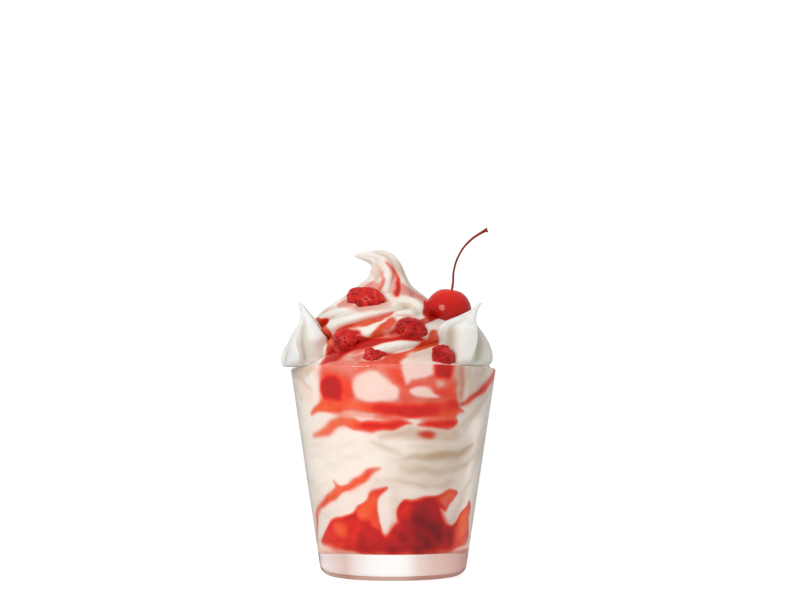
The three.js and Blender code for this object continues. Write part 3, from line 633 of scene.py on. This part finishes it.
def bar(name, columns, rows, steps=120):
    """A round bar bent along rows of x, y, z and radius."""
    centre = along(rows, evenly(rows, steps))
    tangent = np.gradient(centre[:, :3], axis=0)
    tangent /= np.linalg.norm(tangent, axis=1)[:, None]
    side = np.cross(tangent, (0, -1, 0))
    side /= np.linalg.norm(side, axis=1)[:, None]
    out = np.cross(side, tangent)

    def place(azimuth, ring):
        step = np.clip(ring - 1, 0, steps)
        reach = np.where((ring == 0) | (ring == steps + 2), 0, centre[step, 3])[:, None]
        turn = np.radians(azimuth)[:, None]
        return centre[step, :3] + reach * (side[step] * np.cos(turn) + out[step] * np.sin(turn))

    return shaped(name, columns, steps + 2, place)


def filling(name, low, high):
    """A layer of the contents between two faces, each a height for an azimuth and a share of the radius."""
    every = np.arange(0, 360, 5.0)
    tallest = np.max(high(every, 1.0) - low(every, 1.0))
    rows = max(4, math.ceil(tallest / ROW_HEIGHT))

    def place(azimuth, ring):
        share = np.clip(np.minimum(ring, 2 * CAP_RINGS + rows - ring) / CAP_RINGS, 0, 1)
        down = np.clip((ring - CAP_RINGS) / rows, 0, 1)
        z = high(azimuth, share) * (1 - down) + low(azimuth, share) * down
        return around(share * fill_radius(z), azimuth, z)

    piece = shaped(name, FILL_COLUMNS, rows + 2 * CAP_RINGS, place)
    bpy.ops.object.shade_smooth_by_angle(angle=math.radians(40))
    return piece


# ---------------------------------------------------------------- painting the sauce


def unrolled(azimuth, z):
    """Points on the glass laid out flat, in millimetres."""
    return np.stack([np.radians(azimuth) * MEAN_RADIUS, z], axis=-1)


def upright(x, z):
    """Points on the plane through the axis."""
    return np.stack([x, z], axis=-1)


def path_distance(at, path, widths, closed):
    """Distance of each point from a path, less the path's half width there."""
    ends = np.roll(path, -1, axis=0) if closed else path[1:]
    wide_ends = np.roll(widths, -1) if closed else widths[1:]
    nearest = np.full(len(at), 1e9)
    for start, end, wide, wide_end in zip(path, ends, widths, wide_ends):
        run = end - start
        share = np.clip((at - start) @ run / max(run @ run, 1e-9), 0, 1)
        gap = np.linalg.norm(at - start - share[:, None] * run, axis=1)
        nearest = np.minimum(nearest, gap - wide - share * (wide_end - wide))
    return nearest


def inside(at, path):
    """Whether each point lies inside a closed path."""
    odd = np.zeros(len(at), bool)
    for start, end in zip(path, np.roll(path, -1, axis=0)):
        crosses = (start[1] > at[:, 1]) != (end[1] > at[:, 1])
        rise = end[1] - start[1] if end[1] != start[1] else 1e-9
        odd ^= crosses & (at[:, 0] < start[0] + (end[0] - start[0]) * (at[:, 1] - start[1]) / rise)
    return odd


def rounded(points, closed):
    """A smooth path through a few points."""
    rows = np.array(points, float)
    if closed:
        rows = np.concatenate([rows[-1:], rows, rows[:2]])
        return along(rows, np.linspace(1, len(rows) - 2, 6 * (len(rows) - 3) + 1)[:-1])
    return along(rows, np.linspace(0, len(rows) - 1, 6 * len(rows)))


def cover(at, points, soft, closed, flatten):
    """How fully a patch or a stroke covers each point, from 0 to 1."""
    rows = rounded(points, closed)
    path = flatten(rows[:, 0], rows[:, 1])
    widths = np.zeros(len(path)) if closed else rows[:, 2]
    near = np.all((at > path.min(0) - 3 * soft - 3) & (at < path.max(0) + 3 * soft + 3), axis=1)
    covered = np.zeros(len(at))
    gap = path_distance(at[near], path, widths, closed)
    if closed:
        gap = np.where(inside(at[near], path), -gap, gap)
    covered[near] = 1 - smooth(-soft, soft, gap)
    return covered


def painted(at, patches, strokes, flatten, blur=1):
    """Amount at each point after all patches and strokes are laid on in their order."""
    amount = np.zeros(len(at))
    for closed, marks in ((True, patches), (False, strokes)):
        for level, soft, points in marks:
            covered = cover(at, points, soft * blur, closed, flatten)
            amount += (level - amount) * covered
    return amount


def swirl_sauce(at, deep):
    """Sauce, shade and warmth on top of the swirl: laid as listed in front, run into the grooves behind."""
    flat = upright(at[:, 0], at[:, 2] - EYE_HEIGHT)
    flat *= (EYE_DISTANCE / (EYE_DISTANCE + at[:, 1]))[:, None]
    flat[:, 1] += EYE_HEIGHT
    flat += SWIRL_WOBBLE * np.stack([ripple(at, 2.5, 21), ripple(at, 2.5, 22)], axis=-1)
    sauce = painted(flat, SWIRL_PATCHES, SWIRL_STROKES, upright)
    shade = painted(flat, [], SWIRL_FOLDS, upright)
    warm = painted(flat, [], SWIRL_WARMTH, upright)
    runs = smooth(0.1, 0.75, deep + 0.4 * ripple(at, 11, 23) - 0.2)
    pooled = runs * np.clip(BACK_SAUCE + 0.3 * ripple(at, 9, 24), 0.2, 0.85)
    pooled *= 1 - 0.8 * smooth(*BARE_PEAK, at[:, 2])
    front = 1 - smooth(*BACK_FADE, np.abs(azimuth_of(at)))
    return sauce * front + pooled * (1 - front), shade * front, warm * front


def wall_sauce(azimuth, z):
    """Sauce, fold shade and warmth of the contents at the glass. The back mirrors the front unevenly."""
    azimuth = apart(0, azimuth)
    behind = np.abs(azimuth) > 90
    hidden = np.where(behind, np.sin(np.radians(np.abs(azimuth) - 90)), 0)
    mirrored = np.where(behind, np.sign(azimuth) * 180 - azimuth, azimuth)
    mirrored = mirrored + BACK_DRIFT * hidden * np.sin(np.radians(3 * azimuth + z))
    at = unrolled(mirrored, z + hidden * waves(BACK_WAVES, azimuth))
    ring = around(MEAN_RADIUS, azimuth, z)
    at[:, 0] += WALL_WOBBLE[0] * ripple(ring, 4, 11)
    at[:, 1] += WALL_WOBBLE[1] * ripple(ring, 4, 12)
    tables = ((WALL_PATCHES, WALL_STROKES), ([], WALL_FOLDS), ([], WALL_WARMTH))
    sauce, shade, warm = (painted(at, *marks, unrolled, WALL_BLUR) for marks in tables)
    stewed = smooth(0.5, 0.75, sauce) * (1 - smooth(*PULP_TOP, z))
    sauce = sauce + stewed * sum(strength * ripple(ring, size, seed) for strength, size, seed in PULP)
    return [sauce, shade, warm]


# ---------------------------------------------------------------- materials


def colour(red, green, blue):
    """A colour for a shader, from its values on a 0 to 255 screen scale."""
    shares = (value / 255 for value in (red, green, blue))
    return (*(((share + 0.055) / 1.055) ** 2.4 if share > 0.04 else share / 12.92 for share in shares), 1)


class Wire:
    """A shader value. Python's operators on it add the Math nodes."""

    def __init__(self, tree, socket):
        self.tree = tree
        self.socket = socket

    def math(self, operation, *values):
        return self.tree.node("ShaderNodeMath", {"operation": operation}, dict(enumerate((self, *values))))

    def __add__(self, other):
        return self.math("ADD", other)

    def __sub__(self, other):
        return self.math("SUBTRACT", other)

    def __mul__(self, other):
        return self.math("MULTIPLY", other)

    def __rsub__(self, other):
        return self.tree.node("ShaderNodeMath", {"operation": "SUBTRACT"}, {0: other, 1: self})

    def clamped(self, low=0, high=1):
        return self.math("MAXIMUM", low).math("MINIMUM", high)

    __radd__ = __add__
    __rmul__ = __mul__


class Tree:
    """The shader nodes of a material or of the world."""

    def __init__(self, owner):
        owner.use_nodes = True
        self.nodes = owner.node_tree.nodes
        self.links = owner.node_tree.links

    def node(self, kind, settings, inputs, output=0):
        made = self.nodes.new(kind)
        for key, value in settings.items():
            if key == "stops":
                ramp = made.color_ramp
                while len(ramp.elements) < len(value):
                    ramp.elements.new(1)
                for element, (place, shown) in zip(ramp.elements, value):
                    element.position = place
                    element.color = shown
            else:
                setattr(made, key, value)
        for key, value in inputs.items():
            if isinstance(value, Wire):
                self.links.new(value.socket, made.inputs[key])
            else:
                made.inputs[key].default_value = value
        return Wire(self, made.outputs[output])


class Finish(Tree):
    """A material and its shader, with the few ways that the finishes below are built."""

    def __init__(self, name, **constants):
        self.material = bpy.data.materials.new(name)
        super().__init__(self.material)
        self.shader = self.nodes["Principled BSDF"]
        for key, value in constants.items():
            self.shader.inputs[key.replace("_", " ").title().replace("Ior", "IOR")].default_value = value

    def attribute(self, name):
        return self.node("ShaderNodeAttribute", {"attribute_name": name}, {}, "Fac")

    def place(self):
        return self.node("ShaderNodeTexCoord", {}, {}, "Object")

    def noise(self, scale, detail=3, stretch=(1, 1, 1)):
        """Uneven values, with the pattern's lumps about 1 / scale metres across."""
        turned = self.node("ShaderNodeMapping", {}, {"Vector": self.place(), "Scale": stretch})
        inputs = {"Vector": turned, "Scale": scale, "Detail": detail}
        return self.node("ShaderNodeTexNoise", {}, inputs, "Fac")

    def ramp(self, value, stops):
        return self.node("ShaderNodeValToRGB", {"stops": stops}, {"Fac": value}, "Color")

    def mix(self, factor, first, second, blend="MIX"):
        settings = {"data_type": "RGBA", "blend_type": blend}
        return self.node("ShaderNodeMix", settings, {0: factor, 6: first, 7: second}, 2)

    def bump(self, height, distance, strength=1):
        inputs = {"Height": height, "Distance": distance * MM, "Strength": strength}
        return self.node("ShaderNodeBump", {}, inputs, "Normal")

    def wear(self, **wires):
        """Links values to the shader's sockets."""
        for key, wire in wires.items():
            self.links.new(wire.socket, self.shader.inputs[key.replace("_", " ").title()])
        return self.material


CREAM_TO_SAUCE = [
    (0.0, colour(248, 241, 232)),
    (0.12, colour(248, 219, 207)),
    (0.25, colour(240, 172, 156)),
    (0.4, colour(231, 110, 92)),
    (0.52, colour(224, 76, 52)),
    (0.66, colour(213, 40, 30)),
    (0.82, colour(178, 28, 30)),
    (1.0, colour(124, 18, 24)),
]


def soft_serve_finish(name):
    """Soft serve with sauce over it: the vertex values say how much sauce, how deep a fold's painted shade,
    and where the cream has a painted glow.
    """
    finish = Finish(name, subsurface_weight=0.2, subsurface_scale=0.003, coat_roughness=0.12,
                    specular_ior_level=0, emission_strength=0.5)
    finish.shader.inputs["Subsurface Radius"].default_value = (1, 0.6, 0.45)
    sauce = finish.attribute("sauce")
    shade = finish.attribute("shade")
    pulp = finish.noise(260, 4) + finish.noise(75, 3, (1, 1, 1.6))
    uneven = (sauce + (pulp - 1) * sauce.clamped(0, 0.5) * 0.42).clamped()
    shown = finish.ramp(uneven, CREAM_TO_SAUCE)
    shown = finish.mix(finish.attribute("warm") * (sauce * 2.2).clamped() * 0.8, shown, colour(238, 112, 50))
    # Painted shade: the cream turns beige-grey in folds where the shade values say, and in soft uneven drifts
    # where there is little sauce.
    drifts = finish.noise(42, 4, (1, 1, 2.6)) + finish.noise(120, 3, (1, 1, 3)) * 0.5
    painted_fold_shade = (shade * (0.75 + drifts * 0.25) + (drifts - 0.72) * 0.7 * (1 - sauce.clamped())).clamped()
    shown = finish.mix(painted_fold_shade, shown, colour(205, 184, 158), "MULTIPLY")
    # Painted shade: behind the glass the cream is painted a little darker than on the open swirl.
    bare = finish.attribute("open")
    pale = 1 - ((sauce - 0.35) * 5).clamped()
    shown = finish.mix((1 - bare) * pale, shown, colour(237, 237, 238), "MULTIPLY")
    wet = (sauce * 3).clamped() * bare
    grain = finish.noise(1400, 2)
    return finish.wear(
        base_color=shown,
        roughness=0.42 - wet * 0.2,
        coat_weight=bare * 0.3 + wet * 0.4,
        # Painted light: the contents glow in their own colour where the vertex values say.
        emission_color=finish.mix(finish.attribute("lift"), (0, 0, 0, 1), shown),
        normal=finish.bump(grain, 0.05, 0.4),
    )


def whipped_cream_finish():
    finish = Finish("whipped_cream", roughness=0.5, subsurface_weight=0.25, subsurface_scale=0.003)
    finish.shader.inputs["Subsurface Radius"].default_value = (1, 0.8, 0.65)
    shown = finish.ramp(finish.noise(120, 3), [(0.3, colour(245, 243, 238)), (0.7, colour(252, 250, 246))])
    # Painted shade: the cream turns beige-grey where the shade values say.
    shown = finish.mix(finish.attribute("shade"), shown, colour(200, 192, 166), "MULTIPLY")
    return finish.wear(base_color=shown, normal=finish.bump(finish.noise(900, 3), 0.06, 0.5))


def strawberry_finish():
    finish = Finish("strawberry", coat_weight=0.25, coat_roughness=0.12, specular_ior_level=0.2)
    flesh = finish.ramp(finish.noise(340, 4), [
        (0.3, colour(150, 14, 14)),
        (0.42, colour(204, 28, 22)),
        (0.58, colour(224, 38, 28)),
        (0.74, colour(242, 98, 78)),
    ])
    # Painted shade: the flesh is darker in the pits round the seeds.
    shown = finish.mix(finish.attribute("pits") * 0.6, flesh, colour(110, 8, 8))
    shown = finish.mix(finish.attribute("dark"), shown, colour(206, 130, 190), "MULTIPLY")
    return finish.wear(base_color=shown, roughness=0.3 + finish.noise(700, 2) * 0.2,
                       normal=finish.bump(finish.noise(1100, 3), 0.12, 0.6))


def seed_finish():
    finish = Finish("strawberry_seeds", roughness=0.5, coat_weight=0.1, specular_ior_level=0.2)
    return finish.wear(base_color=finish.ramp(finish.noise(500, 2), [
        (0.35, colour(56, 12, 10)),
        (0.62, colour(100, 32, 20)),
        (0.76, colour(196, 126, 66)),
    ]))


def cherry_finish():
    finish = Finish("cherry", roughness=0.3, coat_weight=0.5, coat_roughness=0.04, specular_ior_level=0.1)
    # Painted shade and light: the cherry is darker towards its bottom and brighter orange-red towards its
    # top.
    up = finish.node("ShaderNodeSeparateXYZ", {}, {0: finish.place()}, "Z")
    rise = ((up - (CHERRY_CENTRE[2] - CHERRY_RADIUS) * MM) * (1 / (2 * CHERRY_RADIUS * MM))).clamped()
    rise = (rise + (finish.noise(160, 3) - 0.5) * 0.14).clamped()
    return finish.wear(base_color=finish.ramp(rise, [
        (0.1, colour(120, 18, 12)),
        (0.4, colour(186, 26, 20)),
        (0.7, colour(208, 26, 18)),
        (0.95, colour(240, 44, 20)),
    ]))


def stem_finish():
    finish = Finish("cherry_stem", roughness=0.5, coat_weight=0.1, specular_ior_level=0.2)
    streaks = finish.noise(500, 3, (1, 1, 0.12))
    shown = finish.ramp(streaks, [(0.3, colour(120, 26, 18)), (0.7, colour(172, 46, 30))])
    return finish.wear(base_color=shown, normal=finish.bump(streaks, 0.08, 0.5))


def glass_finish():
    """Clear glass that casts only a faint shadow. Its thick floor is tinted with the contents' colour, a
    painted reflection of them.
    """
    finish = Finish("clear_glass", roughness=0.0, transmission_weight=1.0, ior=1.47)
    smears = finish.noise(60, 2)
    # Painted reflection: the floor is tinted towards the contents' pinks and reds.
    glow = (finish.attribute("glow") * (0.8 + smears * 0.4)).clamped()
    tint = finish.ramp(glow, [
        (0, (0.98, 0.96, 0.94, 1)),
        (0.5, colour(196, 152, 138)),
        (1, colour(150, 84, 80)),
    ])
    tint = finish.mix(finish.attribute("foot"), tint, colour(188, 216, 212), "MULTIPLY")
    finish.wear(roughness=(smears - 0.45).clamped() * 0.06, base_color=tint)
    clear = finish.node("ShaderNodeBsdfTransparent", {}, {"Color": (0.97, 0.98, 0.98, 1)}, "BSDF")
    shadow = finish.node("ShaderNodeLightPath", {}, {}, "Is Shadow Ray")
    body = Wire(finish, finish.shader.outputs["BSDF"])
    mixed = finish.node("ShaderNodeMixShader", {}, {0: shadow, 1: body, 2: clear}, "Shader")
    finish.links.new(mixed.socket, finish.nodes["Material Output"].inputs["Surface"])
    return finish.material


# ---------------------------------------------------------------- the pieces


def own(piece, material, slot, *nodes):
    """Gives a finished piece its material and its body, and hides the nodes that it stands for; its slot is
    not used.
    """
    piece.data.materials.clear()
    piece.data.materials.append(material)
    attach(piece, "root")
    if nodes:
        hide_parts(*nodes)
    return piece


def arc(centre_radius, centre_height, radius, start, end, parts):
    """Points of a round stretch of the glass's profile."""
    turns = np.linspace(start, end, parts + 1)
    return [(centre_radius + radius * math.cos(a), centre_height + radius * math.sin(a)) for a in turns]


def glass():
    """The tumbler: its profile, drawn out point by point and spun round the axis."""
    slope = math.atan(GLASS_FLARE)
    foot_radius = GLASS_ROOT_RADIUS + GLASS_FLARE * FOOT_ROUND - FOOT_ROUND / math.cos(slope)
    lip = WALL_AT_RIM / 2
    rim_radius = glass_radius(GLASS_HEIGHT) - lip
    profile = [
        (0, 0),
        *arc(foot_radius, FOOT_ROUND, FOOT_ROUND, -math.pi / 2, -slope, 16),
        *((glass_radius(z), z) for z in TINT_ROWS),
        *arc(rim_radius, GLASS_HEIGHT - lip, lip, -slope, math.pi - slope, 14),
        *arc(FLOOR_CORNER_RADIUS, FLOOR_CORNER_HEIGHT, FLOOR_ROUND, -slope, -math.pi / 2, 14),
        (0, FLOOR_HEIGHT),
    ]
    piece = begin("sundae_glass", bpy.ops.mesh.primitive_plane_add, size=MM, location=(0, 0, 0))
    bpy.ops.object.mode_set(mode="EDIT")
    bpy.ops.mesh.select_all(action="SELECT")
    bpy.ops.mesh.merge(type="CENTER")
    for (r, z), (next_r, next_z) in zip(profile, profile[1:]):
        step = ((next_r - r) * MM, 0, (next_z - z) * MM)
        bpy.ops.mesh.extrude_region_move(TRANSFORM_OT_translate={"value": step})
    bpy.ops.mesh.select_all(action="SELECT")
    bpy.ops.mesh.spin(steps=GLASS_COLUMNS, angle=2 * math.pi, center=(0, 0, 0), axis=(0, 0, 1))
    bpy.ops.mesh.select_all(action="SELECT")
    bpy.ops.mesh.remove_doubles(threshold=0.00001)
    bpy.ops.object.mode_set(mode="OBJECT")
    face_out(piece)
    at = vertices(piece) / MM
    azimuth = azimuth_of(at)
    facing = np.where(np.abs(azimuth) > 90, np.sign(azimuth) * 180 - azimuth, azimuth)
    # Painted reflection: how much of the contents' colour the floor shows, by azimuth, mirrored behind.
    low = 1 - smooth(FLOOR_HEIGHT, REFLECTION_TOP, at[:, 2])
    note(piece, "glow", np.interp(facing, *zip(*FLOOR_REFLECTION)) * low)
    note(piece, "foot", 1 - smooth(*GREY_FOOT, at[:, 2]))
    return own(piece, glass_finish(), "glass", "glass")


def compote_top(azimuth, share):
    """Height of the face between the bottom sauce and the soft serve."""
    drips = [depth * np.exp(-((apart(centre, azimuth) / width) ** 2)) for centre, width, depth in CREAM_DRIPS]
    return COMPOTE_LEVEL + COMPOTE_CROWN - share**2 * np.max(drips, axis=0)


def band_bottom(azimuth, share):
    return BAND_LEVEL + share * waves(BAND_WAVES, azimuth)


def band_top(azimuth, share):
    return band_bottom(azimuth, share) + BAND_THICKNESS


def floor_face(azimuth, share):
    return np.full(np.shape(azimuth), FLOOR_HEIGHT - INTO_WALL)


def coat(piece, marks, bare):
    """Stores the sauce's marks on a piece, and where it lies in the open air."""
    for name, values in zip(("sauce", "shade", "warm", "open"), (*marks, bare)):
        note(piece, name, values)


def contents():
    """The layers inside the glass, below the swirl."""
    layers = [
        ("bottom_sauce", floor_face, compote_top, "strawberry_sauce", "strawberry_sauce_bottom"),
        ("soft_serve_below", compote_top, band_bottom, "soft_serve", "soft_serve_fill"),
        ("sauce_band", band_bottom, band_top, "strawberry_sauce", "strawberry_sauce_band"),
    ]
    azimuth, half_width, strength = PAINTED_LIGHT_SIDE
    for name, low, high, slot, node in layers:
        piece = filling(name, low, high)
        at = vertices(piece) / MM
        marks = wall_sauce(azimuth_of(at), at[:, 2])
        if low is floor_face:
            # Painted light: the underside is painted pale, for the bright glass floor seen under it.
            under = (at[:, 2] < FLOOR_HEIGHT) * (1 - smooth(*PALE_UNDERSIDE, np.hypot(at[:, 0], at[:, 1])))
            marks[0] = marks[0] * (1 - under) + PALE_SAUCE * under
        coat(piece, marks, np.zeros(len(at)))
        # Painted light: a glow in the cream at the foot of the sauce by the floor, and in a band up the right
        # side.
        edge = (1 - smooth(*PAINTED_LIGHT_CORNER, at[:, 2])) * (1 - smooth(0.2, 0.6, marks[0]))
        side_light = np.exp(-(((azimuth_of(at) - azimuth) / half_width) ** 2)) * (1 - smooth(*PAINTED_LIGHT_TOP, at[:, 2]))
        note(piece, "lift", np.maximum(edge, strength * side_light))
        own(piece, soft_serve_finish(name), slot, node)


def onto_band(azimuth, z):
    """The swirl's foot follows the wavy top of the band under it."""
    foot, rim = SWIRL_ROWS[0, 1], SWIRL_ROWS[1, 1]
    low = band_top(azimuth, 1.0)
    return np.where(z < rim, low + (z - foot) / (rim - foot) * (rim - low), z)


def swirl_reach(azimuth, z, reach):
    """Inside the glass the swirl is pressed against the wall, and above it rolls in."""
    against_wall = fill_radius(z)
    free = reach - pressed(azimuth, z)
    return against_wall + (free - against_wall) * smooth(*LEAVES_WALL, z)


def swirl_groove(at):
    """How deep in a groove each point of the swirl lies, 0 on a crest to 1 in a valley."""
    z = np.clip(at[:, 2], SWIRL_ROWS[0, 1], GROOVE_TOP)
    t = np.interp(z, SWIRL_ROWS[:UPRIGHT_ROWS, 1], np.arange(UPRIGHT_ROWS))
    x, _, _, _, twist, _ = along(SWIRL_ROWS, t).T
    azimuth = np.degrees(np.arctan2(at[:, 0] - x, -at[:, 1]))
    return groove((azimuth - twist) * SWIRL_FLUTES / 360)


def swirl():
    """The piped top, the fold laid over it in front, and the sauce on both."""
    piece = tower("soft_serve_top", SWIRL_COLUMNS, SWIRL_ROWS, SWIRL_STEPS, SWIRL_FLUTES, groove,
                  reach_at=swirl_reach, height_at=onto_band)
    relax(piece, HOOK_HOLLOW, HOOK_REACH)
    fold = bar("fold", 48, FOLD_ROWS)
    apply(piece, "BOOLEAN", operation="UNION", solver="MANIFOLD", object=fold)
    bpy.data.objects.remove(fold)
    at = vertices(piece) / MM
    above = smooth(*OPEN_AIR, at[:, 2])
    in_glass = np.array(wall_sauce(azimuth_of(at), at[:, 2]))
    on_top = np.array(swirl_sauce(at, swirl_groove(at)))
    coat(piece, in_glass * (1 - above) + on_top * above, above)
    face_out(piece)
    bpy.ops.object.shade_smooth_by_angle(angle=math.radians(60))
    own(piece, soft_serve_finish("soft_serve_top"), "soft_serve", "soft_serve_swirl")


def dollops():
    """Whipped cream with sharp petals, with painted shade in its hollows."""
    cream = whipped_cream_finish()
    for side, rows, depth, stretch, all_over_shade in DOLLOPS:
        piece = tower("whipped_cream_at_" + side, DOLLOP_PETALS * PETAL_COLUMNS, rows, DOLLOP_STEPS,
                      DOLLOP_PETALS, petal, depth, stretch)
        at = vertices(piece) / MM
        spaced = along(rows, evenly(rows, DOLLOP_STEPS))
        twist = np.interp(at[:, 2], spaced[:, 1], spaced[:, 4])
        x = np.interp(at[:, 2], spaced[:, 1], spaced[:, 0])
        facing = np.degrees(np.arctan2(at[:, 0] - x, -(at[:, 1] - depth) / stretch))
        hollow = petal((facing - twist) * DOLLOP_PETALS / 360)
        low = smooth(*DOLLOP_FOOT, at[:, 2]) * (1 - smooth(*DOLLOP_TIP, at[:, 2]))
        # Painted shade: a dollop may be darker all over below its neck, and darker in its hollows.
        shade_below_neck = all_over_shade * (1 - smooth(*DOLLOP_NECK, at[:, 2]))
        note(piece, "shade", shade_below_neck + PETAL_SHADE * smooth(0.4, 1, hollow) * low)
        own(piece, cream, "whipped_cream", "whipped_cream_" + side)


def cherry():
    """The cherry, with a dimple round its stem."""
    columns, rings = 96, 72

    def place(azimuth, ring):
        polar = math.pi * ring / rings
        reach = CHERRY_RADIUS * np.sin(polar)
        dimple = np.where(ring < rings / 2, CHERRY_DIMPLE * np.exp(-((reach / CHERRY_DIMPLE_WIDTH) ** 2)), 0)
        x, y, z = around(reach, azimuth, CHERRY_RADIUS * np.cos(polar) - dimple).T
        lean = math.radians(CHERRY_LEAN)
        x, z = x * math.cos(lean) + z * math.sin(lean), z * math.cos(lean) - x * math.sin(lean)
        return np.stack([x, y, z], axis=-1) + CHERRY_CENTRE

    own(shaped("cherry_fruit", columns, rings, place), cherry_finish(), "cherry", "cherry")
    own(bar("cherry_stalk", 24, STEM_ROWS), stem_finish(), "cherry_stem", "cherry_stem")


def spread(count, seed):
    """Directions spread evenly over a sphere, each a little out of place."""
    draw = np.random.default_rng(seed)
    k = np.arange(count)
    z = 1 - (2 * k + 1) / count
    turn = k * GOLDEN_TURN + draw.uniform(-0.25, 0.25, count)
    flat = np.sqrt(1 - z**2)
    return np.stack([flat * np.cos(turn), flat * np.sin(turn), z], axis=-1)


def berry_skin(unit, number, halves):
    """Points of a strawberry piece's uneven skin, for directions from its middle."""
    wide, high, deep = halves
    x, y, z = unit.T
    lumps = np.sin(5 * x + number * 1.7) + np.sin(4 * z - 3 * y + number * 2.3)
    lumps = lumps + np.sin(6 * y + 5 * z + number)
    size = 1 + 0.028 * lumps + 0.02 * ripple(unit, 0.42, 60 + number) + 0.02 * ripple(unit, 0.15, 40 + number)
    return unit * size[:, None] * (wide, deep, high)


def berry_place(points, azimuth, distance, z, roll):
    """Turns a piece's points by its roll, then to its azimuth, and carries them to its place."""
    r, a = math.radians(roll), math.radians(azimuth)
    px, py, pz = points.T
    px, pz = px * math.cos(r) + pz * math.sin(r), pz * math.cos(r) - px * math.sin(r)
    px, py = px * math.cos(a) - py * math.sin(a), px * math.sin(a) + py * math.cos(a)
    return np.stack([px, py, pz], axis=-1) + around(distance, azimuth, z)


def strawberries():
    """The pieces of strawberry, with a pit round each seed, and their seeds as one more piece."""
    flesh = strawberry_finish()
    seed_skin = seed_finish()
    seed_parts = []
    for number, (node, azimuth, distance, z, roll, halves, darkness) in enumerate(BERRIES):
        piece = begin(node + "_piece", bpy.ops.mesh.primitive_ico_sphere_add, subdivisions=6, radius=1)
        unit = vertices(piece)
        spots = spread(SEEDS_ON_A_PIECE, number)
        nearest = np.min(np.linalg.norm(unit[:, None] - spots[None], axis=2), axis=1)
        pits = np.exp(-((nearest / PIT_WIDTH) ** 2))
        skin = berry_skin(unit, number, halves) * (1 - PIT_DEPTH * pits)[:, None]
        move(piece, berry_place(skin, azimuth, distance, z, roll))
        note(piece, "pits", pits)
        note(piece, "dark", np.full(len(unit), darkness))
        face_out(piece)
        own(piece, flesh, "strawberry", node)
        for spot in spots:
            base = berry_skin(spot[None], number, halves)[0] * SEED_SUNK
            seed_parts.append((base, spot, halves, azimuth, distance, z, roll))
    seed = begin("strawberry_seeds", bpy.ops.mesh.primitive_uv_sphere_add, segments=8, ring_count=6, radius=1)
    unit = vertices(seed) * SEED_SIZES
    apply(seed, "ARRAY", count=len(seed_parts), use_relative_offset=False)
    points = []
    for base, spot, (wide, high, deep), azimuth, distance, z, roll in seed_parts:
        out = spot / (wide, deep, high)
        out /= np.linalg.norm(out)
        up = np.array([0, 0, 1.0]) - out * out[2]
        up /= np.linalg.norm(up)
        side = np.cross(up, out)
        local = unit[:, :1] * side + unit[:, 1:2] * out + unit[:, 2:] * up
        points.append(berry_place(base + local, azimuth, distance, z, roll))
    move(seed, np.concatenate(points))
    face_out(seed)
    own(seed, seed_skin, "strawberry")


# ---------------------------------------------------------------- the studio

SKY = (0.42, 0.42, 0.42, 1)
BACKDROP = (1.1, 1.1, 1.1, 1)
FLOOR_SIZE = 6
FLOOR_DROP = 0.0002
LAMPS = [  # name, place, length, width, watts, and whether shiny pieces show it
    ("key", (-0.4, -0.6, 0.3), 0.35, 0.35, 2.4, True),
    ("front", (0.4, -0.85, 0.05), 0.6, 0.6, 0.85, False),
    ("side", (0.75, -0.35, 0.15), 0.5, 0.5, 0.7, False),
    ("strip", (0, -0.2, 0.6), 1.1, 0.06, 0.8, False),
]
LAMP_AIM = Vector((0, 0, 0.08))
LENS = 64.917
SENSOR_WIDTH = 36
SHIFT = 0.06
TILT = 3.37  # degrees
TURN = -0.266


def world():
    """A grey sky. The lens sees a white backdrop, straight on and through the glass."""
    made = bpy.data.worlds.new("studio")
    tree = Tree(made)
    tree.nodes["Background"].inputs["Color"].default_value = SKY
    sky = Wire(tree, tree.nodes["Background"].outputs["Background"])
    backdrop = tree.node("ShaderNodeBackground", {}, {"Color": BACKDROP})
    seen, passing, bounces = (tree.node("ShaderNodeLightPath", {}, {}, name)
                              for name in ("Is Camera Ray", "Is Transmission Ray", "Diffuse Depth"))
    shown = seen + passing.math("GREATER_THAN", bounces)
    mixed = tree.node("ShaderNodeMixShader", {}, {0: shown, 1: sky, 2: backdrop})
    tree.links.new(mixed.socket, tree.nodes["World Output"].inputs["Surface"])
    return made


def ground():
    floor = begin("floor", bpy.ops.mesh.primitive_plane_add, size=FLOOR_SIZE, location=(0, 0, -FLOOR_DROP))
    finish = Finish("floor", roughness=0.9, emission_strength=0.6)
    finish.shader.inputs["Emission Color"].default_value = (1, 1, 1, 1)
    pale = finish.ramp(finish.noise(3, 2), [(0, (0.96, 0.96, 0.96, 1)), (1, (0.98, 0.98, 0.98, 1))])
    floor.data.materials.append(finish.wear(base_color=pale))
    floor.visible_diffuse = False
    floor.visible_glossy = False


def lamp(name, place, length, width, watts, glossy):
    light = bpy.data.lights.new(name, "AREA")
    light.shape = "RECTANGLE"
    light.size = length
    light.size_y = width
    light.energy = watts
    holder = bpy.data.objects.new(name, light)
    bpy.context.scene.collection.objects.link(holder)
    holder.location = place
    holder.visible_glossy = glossy
    holder.rotation_euler = (LAMP_AIM - Vector(place)).to_track_quat("-Z", "Y").to_euler()


def studio():
    scene = bpy.context.scene
    scene.view_settings.view_transform = "Standard"
    scene.world = world()
    ground()
    for settings in LAMPS:
        lamp(*settings)
    camera = bpy.data.objects.new("camera", bpy.data.cameras.new("camera"))
    scene.collection.objects.link(camera)
    scene.camera = camera
    camera.data.sensor_width = SENSOR_WIDTH
    camera.data.lens = LENS
    camera.data.shift_y = SHIFT
    camera.location = (0, -EYE_DISTANCE * MM, EYE_HEIGHT * MM)
    camera.rotation_euler = (math.radians(90 + TILT), 0, math.radians(TURN))


studio()
glass()
contents()
swirl()
dollops()
cherry()
strawberries()
